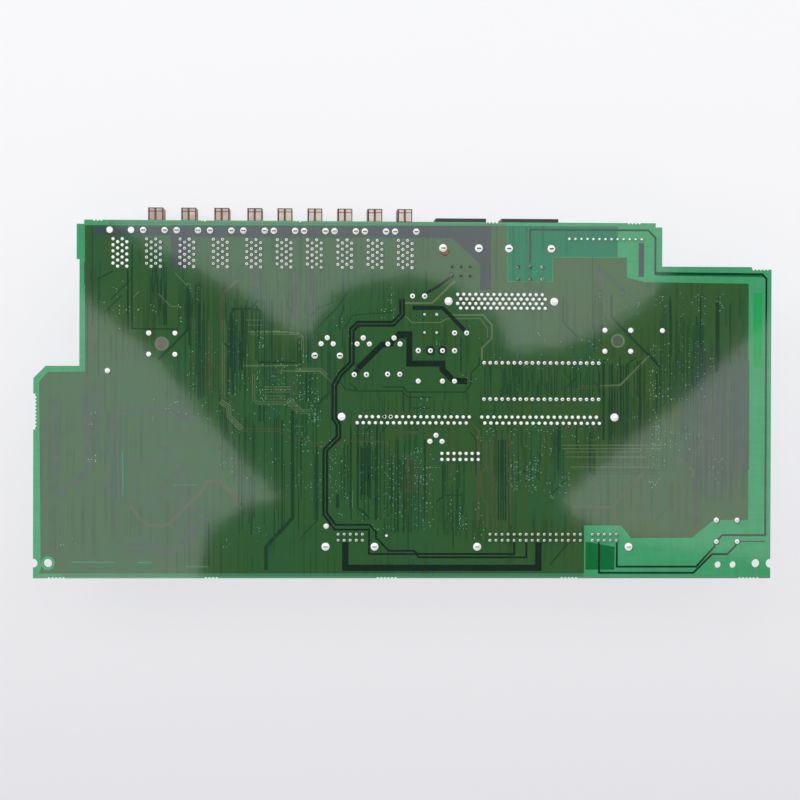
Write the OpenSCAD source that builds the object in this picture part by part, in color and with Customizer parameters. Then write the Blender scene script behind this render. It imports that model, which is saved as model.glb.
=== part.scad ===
/* [Board] */
// Length of the board along its long side
board_w = 309.3; // [305:0.1:330]
// Depth of the board from its bottom edge to its connector edge
board_d = 149.4; // [148:0.1:165]
// Thickness of the laminate
board_t = 1.6; // [1:0.1:3.2]
// Height of the board's underside over the surface that its tall parts stand on
stand_h = 25; // [24:0.5:32]
// Height of the heavy copper tracks over the laminate
track_t = 0.1; // [0.05:0.01:0.3]

/* [Outline] */
// Height of the shelf at the left end
left_shelf_y = 88.5; // [80:0.5:95]
// Width of the step at the upper left corner
left_step_w = 19; // [15:0.5:22]
// Corner chamfer at the left shelf
left_chamfer = 5.1; // [1:0.1:10]
// Drop of the shelf at the right end below the connector edge
right_shelf_drop = 18.2; // [14:0.1:22]
// Width of the shelf at the right end
right_shelf_w = 46.4; // [40:0.1:50]
// Radius of the break-off perforations
bite_r = 0.5; // [0.3:0.05:0.7]
// Pitch of the break-off perforations
bite_pitch = 1.5; // [1.3:0.1:2]
// Diameter of the two mounting holes
fixing_d = 3.5; // [3:0.1:4.5]
// Distance of the mounting holes from the bottom edge
fixing_y = 6.3; // [5:0.1:8]
// Distance of the mounting holes from the board's ends
fixing_inset = 6.15; // [5:0.05:8]
// Radius of the half-round notch in each end
end_notch_r = 1.9; // [1:0.1:2.5]
// Diameter of the two locating holes near the right end
locating_d = 2.8; // [2:0.1:3.2]

/* [Signal connectors] */
// Number of shielded signal connectors
io_count = 9; // [9:1:9]
// Pitch of the first five connectors
io_pitch_wide = 13.9; // [13.2:0.1:14.2]
// Pitch of the other connectors
io_pitch = 12.67; // [12.4:0.01:13]
// Width of a connector body
io_body_w = 11.4; // [10.5:0.1:12]
// Depth of a connector body
io_body_d = 20.6; // [20:0.1:23]
// Width of the metal shroud
io_shroud_w = 6.3; // [6:0.1:7.5]
// Height of the metal shroud
io_shroud_h = 16; // [15:0.1:16.4]
// Reach of the metal shroud past the board's edge
io_reach = 6; // [4:0.1:8]
// Sheet thickness of the shroud and its front plate
io_sheet = 0.4; // [0.3:0.05:0.6]
// Distance from the board's underside to the shroud
io_shroud_drop = 8; // [7:0.1:8.2]

/* [Power connectors] */
// Width of the smaller power connector
pw1_w = 21.2; // [20:0.1:22.5]
// Width of the larger power connector
pw2_w = 24; // [22:0.1:25]
// Height of the power connectors
pw_h = 16; // [15:0.5:20]
// Wall of the power connector housings
pw_wall = 1.6; // [1.2:0.1:2]
// Reach of the housings past the board's edge
pw_reach = 1.6; // [1:0.1:3]

/* [Sockets and headers] */
// Height of the sixty-way connector
hd_h = 11; // [8:0.5:16]
// Width of the module socket's body
module_w = 8.4; // [7:0.1:10]
// Height of the module socket's body
module_h = 9; // [7:0.5:12]
// Height of the module socket's end towers
tower_h = 17; // [14:0.5:20]
// Width of the slot in the module socket
slot_w = 1.5; // [1.2:0.1:2]
// Height of the edge headers at the bottom
edge_h = 9; // [8:0.5:12]
// Wall of the edge headers
edge_wall = 1; // [0.8:0.1:1.4]

/* [Tall parts] */
// Diameter of the electrolytic capacitors
cap_d = 10; // [8:0.1:10.1]
// Body diameter of the threaded spacers
spacer_d = 7; // [6:0.1:8]
// Diameter of the threaded hole in a spacer
spacer_bore_d = 2.5; // [2:0.1:3.2]
// Height of the heat sink
sink_h = 21; // [18:0.5:23]

/* [Leads and solder] */
// Side of a square header pin
pin_w = 0.64; // [0.5:0.01:0.7]
// Side of a signal connector's pin
fine_pin_w = 0.42; // [0.3:0.01:0.5]
// Radius of a plated hole for a header pin
pin_hole_r = 0.52; // [0.5:0.01:0.55]
// Radius of a plated hole for a signal connector's pin
fine_hole_r = 0.4; // [0.36:0.01:0.42]
// Length of a lead above the laminate
lead_out = 1.3; // [1:0.05:2]
// Height of a solder cone
solder_h = 0.85; // [0.5:0.05:1]
// Gap between a lead and the metal round it
wet_gap = 0.02; // [0.01:0.01:0.05]

/* [Hidden] */
$fn = 24;
grid = 2.54;
half = grid / 2;
board_top = stand_h + board_t;
part_d = board_d + io_reach;

// How far a cutter runs past the face that it opens
cut = 1;
part_lead_w = 0.7;
lug_w = 1.7;
lug_t = 0.5;

// Plated holes and pads, from the signal pins to the lugs
part_hole_r = 0.6;
lug_hole_r = 1.1;
fine_pad_r = 0.7;
pin_pad_r = 0.78;
part_pad_r = 1.15;
lug_pad_r = 1.75;

function from_top(inset) = board_d - inset;
function from_right(inset) = board_w - inset;

// Points of the centre block, counted from its left end and from the connector edge
core_x = 120;
function core(points) = [for (p = points) [core_x + p[0], from_top(p[1])]];

// Signal connectors: first column of each footprint, its rows and its two shell lugs
io_first_x = 32.87;
io_col = 1.905;
io_rows = 5;
io_row_inset = 7.9;
io_lug_pitch = 8.89;
io_lug_inset = 4.2;
io_wide_gaps = 4;
function io_x(i) = io_first_x + min(i, io_wide_gaps) * io_pitch_wide
    + max(i - io_wide_gaps, 0) * io_pitch;
function io_mid(i) = io_x(i) + 1.5 * io_col + 0.15;
function io_pins(i) = [for (c = [0:3], r = [0:io_rows - 1])
    [io_x(i) + c * io_col, from_top(io_row_inset) - r * grid - (c % 2) * half]];
function io_lugs(i) = [for (s = [-1, 1])
    [io_mid(i) + s * io_lug_pitch / 2, from_top(io_lug_inset)]];

// Power connectors
pw1_x = 178.06;
pw2_x = 207.15;
pw1_pitch = 3.81;
pw2_pitch = 5.08;
pw_row_inset = 18.7;
pw_lug_inset = 11;
pw1_lug_pitch = 15;
pw2_lug_pitch = 17.8;
function pw_pins(x, p) = [for (c = [-1:1], r = [0:1]) [x + c * p, from_top(pw_row_inset) - r * p]];
function pw_lugs(x, p) = [for (s = [-1, 1]) [x + s * p / 2, from_top(pw_lug_inset)]];

// Strip header at the connector edge
strip_x = 223.6;
strip_n = 13;
strip_inset = 6.83;
function strip_pins() = [for (i = [0:strip_n - 1]) [strip_x + i * grid, from_top(strip_inset)]];

// Sixty-way connector: four staggered rows and two end lugs
hd_x = core_x + 56.73;
hd_y = from_top(30.35);
hd_cols = 15;
hd_rows = 4;
hd_row = 1.905;
hd_mid = [hd_x + (hd_cols - 0.5) * half, hd_y - 1.5 * hd_row];
hd_lug_pitch = 44.45;
function hd_pins() = [for (r = [0:hd_rows - 1], c = [0:hd_cols - 1])
    [hd_x + c * grid + (r % 2) * half, hd_y - r * hd_row]];
function hd_lugs() = [for (s = [-1, 1]) [hd_mid[0] + s * hd_lug_pitch / 2, hd_mid[1]]];

// Module socket: two banks of staggered contacts and two end lugs
module_x1 = core_x + 16.05;
module_x2 = core_x + 67.05;
module_y = from_top(81.72);
module_n1 = 19;
module_n2 = 20;
module_lug_x = [core_x + 8.24, core_x + 122.96];
module_mid = [(module_lug_x[0] + module_lug_x[1]) / 2, module_y - half];
module_open = [4, 5];
function module_pins() = concat(
    [for (i = [0:module_n1 - 1]) if (i != module_open[0] && i != module_open[1])
        [module_x1 + i * grid, module_y]],
    [for (i = [0:module_n1 - 1]) [module_x1 + i * grid - half, module_y - grid]],
    [for (i = [0:module_n2 - 1]) [module_x2 + i * grid, module_y]],
    [for (i = [0:module_n2 - 1]) [module_x2 + i * grid + half, module_y - grid]]);
function module_empty() = [for (i = module_open) [module_x1 + i * grid, module_y]];
function module_lugs() = [for (x = module_lug_x) [x, module_y]];

// Forty-pin circuit
dip_x = core_x + 67.96;
dip_y = from_top(58.95);
dip_n = 20;
dip_row = 15.24;
function dip_pins() = [for (r = [0:1], c = [0:dip_n - 1]) [dip_x + c * grid, dip_y - r * dip_row]];

// Pin header in the middle
mid_x = core_x + 50.34;
mid_y = from_top(97.02);
mid_n = 7;
function mid_pins() = [for (r = [0:1], c = [0:mid_n - 1]) [mid_x + c * grid, mid_y - r * grid]];

// Edge headers: first column, number of columns, skipped column
edge_y = 18.45;
edge_lug_y = 13.25;
edge1_x = 126.95;
edge1_n = 5;
edge1_lug_x = [121.7, 142.2];
edge2_x = 190.69;
edge2_n = 22;
edge2_skip = 16;
edge2_lug_x = [185.29, 249.15];
function edge_pins(x, n, skip) = [for (r = [0:1], c = [0:n - 1]) if (c != skip)
    [x + c * grid, edge_y - r * grid]];
function edge_lugs(xs) = [for (x = xs) [x, edge_lug_y]];

// Threaded spacers on four-legged plates
spacer_at = [[53.2, from_top(51.5)], [244.26, from_top(49.5)]];
plate_leg = [10.9, 8.8];
boss_step = 0.8;
function plate_legs() = [for (p = spacer_at, sx = [-1, 1], sy = [-1, 1])
    [p[0] + sx * plate_leg[0] / 2, p[1] + sy * plate_leg[1] / 2]];

// Two-lead parts, by their middles, with leads two grid steps apart along X
cap_at = core([[16.03, 64.1], [30, 63.9], [42.8, 53.95], [52.96, 53.95]]);
small_cap_at = core([[40.33, 31.15], [58, 46.5]]);
film_cap_at = core([[45.4, 38.76], [45.4, 46.36]]);
choke_leads = core([[40.28, 66.73], [50.44, 66.73], [55.52, 66.73]]);
function pair(p) = [for (s = [-1, 1]) [p[0] + s * grid, p[1]]];
function pairs(list) = [for (p = list, q = pair(p)) q];

// Three-lead parts, by the lead at the apex
triple_at = core([[2.1, 48.71], [17.2, 48.73], [30.07, 48.7]]);
trimmer_at = core([[47.83, 89.44]])[0];
function triple(p) = [p, [p[0] - grid, p[1] - grid], [p[0] + grid, p[1] - grid]];
sink_lugs = core([[-3.05, 56.2], [7.45, 56.2]]);

// Test posts and the four-lead sounder near the right end
post_at = [[30.65, from_top(62.85)], [263.08, from_top(45.15)], [121.92, 21.82], [147.22, 17.91]];
sounder_inset = 18.57;
sounder_y = 20;
sounder_leg = [8.8, 9];
function sounder_legs() = [for (sx = [-1, 1], sy = [-1, 1])
    [from_right(sounder_inset) + sx * sounder_leg[0] / 2, sounder_y + sy * sounder_leg[1] / 2]];
locating_inset = [22.2, 15.85];
locating_y = 5.7;

// Surface-mounted circuits under the via fields: middle and side. The lower row keeps its share of the depth
chip_row_y = board_d * 0.24;
chip_at = [[101, from_top(69.4), 24], [275, from_top(65.4), 24], [60, from_top(99.4), 28],
    [95, chip_row_y, 20], [150, chip_row_y, 20], [215, chip_row_y, 22]];
chip_h = 3;
chip_leads = 14;
chip_foot = 2;

// Break-off perforations: edge, distance of the first from the left or bottom end, count
bites_top = [[25, 3], [69.5, 4], [109.2, 4], [151.4, 6], [188.6, 4], [248.8, 4]];
bites_bottom = [[6.6, 5], [71.8, 4], [143.6, 6], [221, 5], [296.4, 6]];
bites_left = [63.4, 9];
bites_left_x = 0.8;
shelf_tab_drop = 1;
bites_shelf = [7.5, 5];

// ---- shared shapes ----

// Puts board coordinates, counted from the lower left corner, into the part's frame
module on_board(z = 0) {
    translate([-board_w / 2, -part_d / 2, z]) children();
}

module at(points) {
    for (p = points) translate([p[0], p[1], 0]) children();
}

// Upright square lead, from a depth below the board's underside to above its solder
module lead(w, depth, out = lead_out) {
    translate([-w / 2, -w / 2, stand_h - depth]) cube([w, w, depth + board_t + out]);
}

// Flat blade lead whose width runs along X
module blade(w, t, depth, out = lead_out) {
    translate([-w / 2, -t / 2, stand_h - depth]) cube([w, t, depth + board_t + out]);
}

// Cutter for the pocket that a lead or blade stands in, open towards the board
module pocket(w, t, depth) {
    translate([-w / 2 - wet_gap, -t / 2 - wet_gap, stand_h - depth])
        cube([w + 2 * wet_gap, t + 2 * wet_gap, depth + cut]);
}

// Solder cone round a lead: bore, pad and height
module solder_cone(bore_r, pad_r, h = solder_h) {
    collar_r = bore_r + 0.12;
    waist_r = (collar_r * 2 + pad_r) / 3;
    translate([0, 0, board_top]) rotate_extrude()
        polygon([[bore_r, 0], [pad_r, 0], [waist_r, h * 0.45], [collar_r, h], [bore_r, h]]);
}

// Solder that closes a hole with no lead, with a low crown
module solder_plug(hole_r, pad_r) {
    translate([0, 0, stand_h]) rotate_extrude()
        polygon([[0, 0], [hole_r - wet_gap, 0], [hole_r - wet_gap, board_t], [pad_r, board_t],
                 [pad_r * 0.6, board_t + 0.35], [0, board_t + 0.45]]);
}

function bore_of(w) = w / 2 * sqrt(2) + wet_gap;

// ---- board ----

module outline() {
    tab_drop = 1.75;
    right_tab_w = 2.8;
    left_tab = [-1.2, 1.9, 16.4];
    shelf_tab_w = 8.3;
    shelf_y = from_top(right_shelf_drop);
    left_top = bites_left[0] + bites_left[1] * bite_pitch;
    left_low = bites_left[0] - bite_pitch;
    polygon([
        [0, 0], [board_w, 0],
        [board_w, shelf_y - shelf_tab_drop], [from_right(shelf_tab_w), shelf_y - shelf_tab_drop],
        [from_right(shelf_tab_w), shelf_y],
        [from_right(right_shelf_w), shelf_y], [from_right(right_shelf_w), from_top(tab_drop)],
        [from_right(right_shelf_w + right_tab_w), from_top(tab_drop)],
        [from_right(right_shelf_w + right_tab_w), board_d],
        [left_step_w + left_tab[1], board_d], [left_step_w + left_tab[1], from_top(tab_drop)],
        [left_step_w + left_tab[0], from_top(tab_drop)], [left_step_w + left_tab[0], from_top(left_tab[2])],
        [left_step_w, from_top(left_tab[2])], [left_step_w, left_shelf_y],
        [left_chamfer, left_shelf_y], [0, left_shelf_y - left_chamfer],
        [0, left_top], [bites_left_x, left_top], [bites_left_x, left_low], [0, left_low]]);
}

module bites() {
    for (b = bites_top, i = [0:b[1] - 1]) translate([b[0] + i * bite_pitch, board_d]) circle(bite_r);
    for (b = bites_bottom, i = [0:b[1] - 1]) translate([b[0] + i * bite_pitch, 0]) circle(bite_r);
    for (i = [0:bites_left[1] - 1]) translate([bites_left_x, bites_left[0] + i * bite_pitch]) circle(bite_r);
    for (i = [0:bites_shelf[1] - 1])
        translate([from_right(bites_shelf[0]) + i * bite_pitch, from_top(right_shelf_drop) - shelf_tab_drop])
            circle(bite_r);
}

function lug_points() = concat([for (i = [0:io_count], p = io_lugs(i)) p],
    pw_lugs(pw1_x, pw1_lug_pitch), pw_lugs(pw2_x, pw2_lug_pitch), hd_lugs(), module_lugs(),
    edge_lugs(edge1_lug_x), edge_lugs(edge2_lug_x), sink_lugs);

// One circle at every plated hole, with a radius for each kind
module pads(r_io, r_pin, r_part, r_lug) {
    for (i = [0:io_count]) at(io_pins(i)) circle(r_io);
    at(concat(hd_pins(), module_pins(), module_empty(), dip_pins(), mid_pins(), strip_pins(),
        edge_pins(edge1_x, edge1_n, -1), edge_pins(edge2_x, edge2_n, edge2_skip))) circle(r_pin);
    at(concat(pw_pins(pw1_x, pw1_pitch), pw_pins(pw2_x, pw2_pitch), pairs(cap_at), pairs(small_cap_at),
        pairs(film_cap_at), choke_leads, triple(triple_at[0]), triple(triple_at[1]),
        triple(triple_at[2]), triple(trimmer_at), post_at, plate_legs(), sounder_legs()))
        circle(r_part);
    at(lug_points()) circle(r_lug);
}

module board() {
    color("seagreen") on_board(stand_h) linear_extrude(board_t) difference() {
        outline();
        bites();
        pads(fine_hole_r, pin_hole_r, part_hole_r, lug_hole_r);
        translate([0, fixing_y]) circle(end_notch_r);
        translate([board_w, fixing_y]) circle(end_notch_r);
        translate([fixing_inset, fixing_y]) circle(fixing_d / 2, $fn = 48);
        translate([from_right(fixing_inset), fixing_y]) circle(fixing_d / 2, $fn = 48);
        for (x = locating_inset) translate([from_right(x), locating_y]) circle(locating_d / 2, $fn = 48);
        at(spacer_at) circle(spacer_d / 2 - boss_step, $fn = 48);
    }
}

// ---- heavy tracks ----

// Unit direction of a path's leg i, and the mitred sideways step at its point i
function leg(path, i) = (path[i + 1] - path[i]) / norm(path[i + 1] - path[i]);
function side(d) = [-d[1], d[0]];
function mitre(path, i) = let (n1 = side(leg(path, max(i - 1, 0))),
    n2 = side(leg(path, min(i, len(path) - 2)))) (n1 + n2) / (1 + n1 * n2);

// Strip that follows a path between two sideways offsets
module strip(path, a, b) {
    last = len(path) - 1;
    polygon(concat([for (i = [0:last]) path[i] + a * mitre(path, i)],
        [for (i = [last:-1:0]) path[i] + b * mitre(path, i)]));
}

module route(path, w) { strip(path, -w / 2, w / 2); }

// Two lines that run side by side
module route_pair(path, w, gap) {
    strip(path, -w / 2, -gap / 2);
    strip(path, gap / 2, w / 2);
}

pair_w = 2.4;
pair_gap = 0.5;
thin_w = 0.75;
main_pair = concat(core([[33.4, 32.4], [33.4, 39], [29.6, 42.8], [15, 42.8], [12.4, 45.4], [12.4, 59.2],
    [7.8, 63.8], [5.2, 68.4], [5.2, 82.4], [7, 85.2], [7, 90.2], [1.5, 95.7]]), [[121.5, 27], [124.8, 22.6]]);
upper_line = [[124.5, 24.2], [125.85, 22.4], [140, 22.4], [142.8, 19.6], [142.8, 17], [148.2, 11.5], [158.8, 11.5],
    [160.2, 10.2], [200.9, 10.2], [200.9, 15]];
lower_line = [[123.9, 22.6], [125.5, 20.4], [139.9, 20.4], [139.9, 10.2], [159.4, 10.2], [160.8, 8.8], [206, 8.8],
    [206, 15]];
wide_bar = [[130, 15], [130, 4.4], [211.1, 4.4], [211.1, 15]];
supply_path = core([[31.4, 47.2], [36.5, 47.2], [36.5, 59.4], [50.4, 59.4], [50.4, 61.8], [55, 66.4],
    [60.8, 66.8]]);
supply_branch = core([[29.6, 51], [25, 51.6], [15, 61.6]]);
input_path = core([[54, 21], [53.4, 23.4], [48, 27.4], [43.6, 29.8]]);
input_bar = core([[37.8, 36], [50.4, 36], [52.9, 38.4], [59.6, 45.4]]);

// Line along the right border: its distances from the shelf's step, the shelf and the board's edges
step_run = 2.9;
shelf_run = 3;
edge_run = 2.2;
run_chamfer = 1.8;
step_chamfer = 3.1;
border_path = let (step_x = from_right(right_shelf_w + step_run), shelf_y = from_top(right_shelf_drop + shelf_run))
    [[pw2_x, from_top(pw_row_inset - 1.9)], [pw2_x, from_top(shelf_run)], [step_x - step_chamfer, from_top(shelf_run)],
     [step_x, from_top(shelf_run + step_chamfer)], [step_x, shelf_y], [from_right(edge_run + run_chamfer), shelf_y],
     [from_right(edge_run), shelf_y - run_chamfer], [from_right(edge_run), 18.2],
     [from_right(sounder_inset + run_chamfer), 18.2], [from_right(sounder_inset + 2 * run_chamfer), 16.4]];
corner_path_1 = [[236.7, 14], [236.7, 2.3], [from_right(32.7), 2.3], [from_right(24.7), 10.2],
    [from_right(18.3), 10.2], [from_right(14.9), 13.6]];
corner_path_2 = [[244.2, 14], [244.2, 4.9], [from_right(31.5), 4.9], [from_right(23.7), 13.4]];

module heavy_tracks() {
    pad_gap = 0.05;
    color("darkslategray") on_board(board_top) linear_extrude(track_t) difference() {
        union() {
            route_pair(main_pair, pair_w, pair_gap);
            route(upper_line, thin_w);
            route(lower_line, thin_w);
            route(wide_bar, 2.6);
            route(supply_path, 2.5);
            route(supply_branch, 2.4);
            route(input_path, 1);
            route(input_bar, 1.7);
            route(border_path, thin_w);
            route(corner_path_1, thin_w);
            route(corner_path_2, thin_w);
        }
        pads(fine_pad_r + pad_gap, pin_pad_r + pad_gap, part_pad_r + pad_gap, lug_pad_r + pad_gap);
    }
}

// ---- solder ----

module solder_signal() {
    color("silver") on_board() for (i = [1:io_count])
        at(io_pins(i)) solder_cone(bore_of(fine_pin_w), fine_pad_r);
}

module solder_unfitted() {
    color("silver") on_board() {
        at(io_pins(0)) solder_plug(fine_hole_r, fine_pad_r);
        at(io_lugs(0)) solder_plug(lug_hole_r, lug_pad_r);
    }
}

module solder_sockets() {
    color("silver") on_board() {
        at(concat(hd_pins(), module_pins(), dip_pins(), mid_pins(), strip_pins(),
            edge_pins(edge1_x, edge1_n, -1), edge_pins(edge2_x, edge2_n, edge2_skip)))
            solder_cone(bore_of(pin_w), pin_pad_r);
    }
}

module solder_lugs() {
    bore_r = norm([lug_w, lug_t]) / 2 + wet_gap;
    color("silver") on_board() at(fitted_lugs()) solder_cone(bore_r, lug_pad_r, solder_h * 1.2);
}
function fitted_lugs() = [for (i = [2:len(lug_points()) - 1]) lug_points()[i]];

module solder_parts() {
    color("silver") on_board()
        at(concat(pw_pins(pw1_x, pw1_pitch), pw_pins(pw2_x, pw2_pitch), pairs(cap_at),
            pairs(small_cap_at), pairs(film_cap_at), choke_leads, triple(triple_at[0]),
            triple(triple_at[1]), triple(triple_at[2]), triple(trimmer_at), post_at, plate_legs(),
            sounder_legs()))
            solder_cone(bore_of(part_lead_w), part_pad_r, solder_h * 1.1);
}

// ---- signal connectors ----

io_seat = 0.02;
tongue_t = 1.6;
tongue_h = io_shroud_h - 3;
tongue_tip = 0.6;
io_pocket = 4;
strap_d = 6;

// Outline of the shroud in its mouth's plane, X across and Y up, with the two slanted corners
module shroud_outline(inset) {
    w = io_shroud_w / 2 - inset;
    top = stand_h - io_shroud_drop - inset;
    low = stand_h - io_shroud_drop - io_shroud_h + inset;
    slant = 1.2;
    polygon([[-w, low + slant], [-w + slant, low], [w, low], [w, top], [-w, top]]);
}

module along_y(y, length) {
    translate([0, y + length, 0]) rotate([90, 0, 0]) linear_extrude(length) children();
}

module signal_shell(i) {
    plate_low = 0.6;
    frame = 0.25;
    rib_w = 1.3;
    lip = 0.9;
    top = stand_h - io_shroud_drop;
    color("tan") on_board() translate([io_mid(i), 0, 0]) {
        difference() {
            union() {
                along_y(board_d - io_sheet, io_sheet) translate([-io_body_w / 2, plate_low])
                    square([io_body_w, stand_h - plate_low - io_seat]);
                along_y(board_d, io_reach) shroud_outline(0);
                translate([-rib_w / 2, board_d, top]) cube([rib_w, io_reach, frame]);
                translate([-io_shroud_w / 2, board_d + io_reach - lip, top])
                    cube([io_shroud_w, lip, frame]);
                translate([-io_shroud_w / 2, board_d, top]) cube([io_shroud_w, frame * 2, frame]);
            }
            along_y(board_d - io_sheet - cut, io_reach + io_sheet + 2 * cut) shroud_outline(io_sheet);
        }
        translate([-io_body_w / 2, board_d - strap_d, stand_h - io_sheet - io_seat])
            cube([io_body_w, strap_d - io_sheet, io_sheet]);
        for (s = [-1, 1]) translate([s * io_lug_pitch / 2, from_top(io_lug_inset), 0])
            blade(lug_w, lug_t, io_sheet);
    }
}

module signal_body(i) {
    clear = 0.05;
    color("dimgray") on_board() difference() {
        translate([io_mid(i), 0, 0]) union() {
            translate([-io_body_w / 2, board_d - io_sheet - io_body_d, 0])
                cube([io_body_w, io_body_d, stand_h]);
            translate([-tongue_t / 2, board_d - io_sheet - cut,
                       stand_h - io_shroud_drop - io_shroud_h / 2 - tongue_h / 2])
                cube([tongue_t, io_reach + io_sheet + cut - tongue_tip, tongue_h]);
        }
        translate([io_mid(i) - io_body_w / 2 - cut, board_d - strap_d - clear,
                   stand_h - io_sheet - io_seat - clear])
            cube([io_body_w + 2 * cut, strap_d + cut, io_sheet * 4]);
        at(io_pins(i)) pocket(fine_pin_w, fine_pin_w, io_pocket);
    }
}

module signal_contacts() {
    per_side = 10;
    strip_w = 0.6;
    strip_t = 0.2;
    strip_l = io_reach - tongue_tip - 0.8;
    color("gold") on_board() for (i = [1:io_count]) {
        at(io_pins(i)) lead(fine_pin_w, io_pocket);
        for (s = [-1, 1], k = [0:per_side - 1])
            translate([io_mid(i) + s * (tongue_t + strip_t) / 2 - strip_t / 2, board_d + 0.2,
                       stand_h - io_shroud_drop - io_shroud_h / 2 + (k - (per_side - 1) / 2) * half - strip_w / 2])
                cube([strip_t, strip_l, strip_w]);
    }
}

// ---- power connectors ----

pw_depth = 17.4;
pw_cavity = 13;
pw_mouth = 5.5;
tab_w = 0.8;
tab_h = 0.8;
pw_lug_pocket = 1.4;
function pw_level(r, p) = stand_h - pw_h / 2 + (r == 0 ? 1 : -1) * p / 2;

module power_housing(x, w, p, lug_p) {
    inner = [w - 2 * pw_wall, pw_h - 2 * pw_wall];
    key = 1;
    front = board_d + pw_reach;
    color([0.09, 0.1, 0.1]) on_board() difference() {
        translate([x - w / 2, front - pw_depth, stand_h - pw_h]) cube([w, pw_depth, pw_h]);
        translate([x - inner[0] / 2, front - pw_cavity, stand_h - pw_h + pw_wall])
            cube([inner[0], pw_cavity + cut, inner[1]]);
        for (s = [-1, 1])
            translate([x + s * inner[0] / 4 - key, front - pw_cavity, stand_h - pw_h + pw_wall - key * 0.8])
                cube([key * 2, pw_cavity + cut, key]);
        for (c = [-1:1], r = [0:1])
            translate([x + c * p - tab_w / 2 - wet_gap, front - pw_depth - cut,
                       pw_level(r, p) - tab_h / 2 - wet_gap])
                cube([tab_w + 2 * wet_gap, pw_depth, tab_h + 2 * wet_gap]);
        at(pw_lugs(x, lug_p)) pocket(lug_w, lug_t, pw_lug_pocket);
    }
}

module power_tabs(x, p, lug_p) {
    tip = board_d + pw_reach - pw_mouth;
    color("silver") on_board() {
        for (c = [-1:1], r = [0:1]) {
            y = from_top(pw_row_inset) - r * p;
            z = pw_level(r, p);
            translate([x + c * p - tab_w / 2, y - tab_w / 2, z - tab_h / 2])
                cube([tab_w, tip - y + tab_w / 2, tab_h]);
            translate([x + c * p, y, 0]) lead(part_lead_w, stand_h - z + tab_h / 2);
        }
        at(pw_lugs(x, lug_p)) blade(lug_w, lug_t, pw_lug_pocket);
    }
}

module power_housing_1() { power_housing(pw1_x, pw1_w, pw1_pitch, pw1_lug_pitch); }
module power_housing_2() { power_housing(pw2_x, pw2_w, pw2_pitch, pw2_lug_pitch); }
module power_tabs_1() { power_tabs(pw1_x, pw1_pitch, pw1_lug_pitch); }
module power_tabs_2() { power_tabs(pw2_x, pw2_pitch, pw2_lug_pitch); }

// ---- pin headers ----

base_t = 2.5;
pin_reach = 8.5;

// Moulded strip that carries rows of straight pins: first pin, columns and rows
module header_base(x, y, cols, rows) {
    color([0.08, 0.08, 0.09]) on_board() difference() {
        translate([x - half, y - (rows - 1) * grid - half, stand_h - base_t])
            cube([cols * grid, rows * grid, base_t]);
        for (c = [0:cols - 1], r = [0:rows - 1])
            translate([x + c * grid, y - r * grid, 0]) pocket(pin_w, pin_w, base_t + cut);
    }
}

module strip_base() { header_base(strip_x, from_top(strip_inset), strip_n, 1); }
module strip_contacts() { color("gold") on_board() at(strip_pins()) lead(pin_w, pin_reach); }
module mid_header_base() { header_base(mid_x, mid_y, mid_n, 2); }
module mid_header_pins() { color("gold") on_board() at(mid_pins()) lead(pin_w, pin_reach); }

// ---- sixty-way stacking connector ----

stack_pocket = 4;
module stack_housing() {
    lug_end = 2.5;
    row_margin = 2.1;
    body = [hd_lug_pitch + 2 * lug_end, (hd_rows - 1) * hd_row + 2 * row_margin, hd_h];
    groove_w = 2;
    groove_d = hd_h * 0.45;
    groove_l = hd_cols * grid + groove_w;
    color([0.12, 0.12, 0.13]) on_board() difference() {
        translate([hd_mid[0] - body[0] / 2, hd_mid[1] - body[1] / 2, stand_h - hd_h]) cube(body);
        translate([hd_mid[0] - groove_l / 2, hd_mid[1] - groove_w / 2, stand_h - hd_h - cut])
            cube([groove_l, groove_w, groove_d + cut]);
        at(hd_pins()) pocket(pin_w, pin_w, stack_pocket);
        at(hd_lugs()) pocket(lug_w, lug_t, stack_pocket);
    }
}

module stack_contacts() {
    color("gold") on_board() {
        at(hd_pins()) lead(pin_w, stack_pocket);
        at(hd_lugs()) blade(lug_w, lug_t, stack_pocket);
    }
}

// ---- module socket ----

socket_pocket = 3;
tower_l = 7;
latch_t = 0.5;
slot_d = 5.2;
slot_end = 4.5;

module module_socket() {
    x0 = module_lug_x[0] - tower_l / 2;
    x1 = module_lug_x[1] + tower_l / 2;
    y0 = module_mid[1] - module_w / 2;
    color([0.86, 0.84, 0.78]) on_board() difference() {
        union() {
            translate([x0, y0, stand_h - module_h]) cube([x1 - x0, module_w, module_h]);
            for (x = [x0, x1 - tower_l])
                translate([x, y0, stand_h - tower_h]) cube([tower_l, module_w, tower_h]);
        }
        translate([x0 + slot_end, module_mid[1] - slot_w / 2, stand_h - tower_h - cut])
            cube([x1 - x0 - 2 * slot_end, slot_w, tower_h + cut - module_h + slot_d]);
        at(module_pins()) pocket(pin_w, pin_w, socket_pocket);
        at(module_lugs()) pocket(lug_w, lug_t, socket_pocket);
    }
}

module module_contacts() {
    color("gold") on_board() {
        at(module_pins()) lead(pin_w, socket_pocket);
        at(module_lugs()) blade(lug_w, lug_t, socket_pocket);
    }
}

// Spring latches that lie against the outer face of each tower
module module_latches() {
    latch_w = 5;
    hook = 2.2;
    color("silver") on_board() for (s = [-1, 1]) {
        x = (s < 0 ? module_lug_x[0] - tower_l / 2 : module_lug_x[1] + tower_l / 2);
        translate([x, module_mid[1], 0]) scale([s, 1, 1]) translate([0, -latch_w / 2, 0]) {
            translate([0, 0, stand_h - tower_h - latch_t]) cube([latch_t, latch_w, tower_h - 3]);
            translate([-hook, 0, stand_h - tower_h - latch_t]) cube([hook, latch_w, latch_t]);
        }
    }
}

// ---- forty-pin circuit ----

dip_body = [51.8, 13.8, 4.2];
dip_gap = 0.6;
dip_lead_t = 0.3;
dip_mid = [dip_x + (dip_n - 1) * half, dip_y - dip_row / 2];

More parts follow.
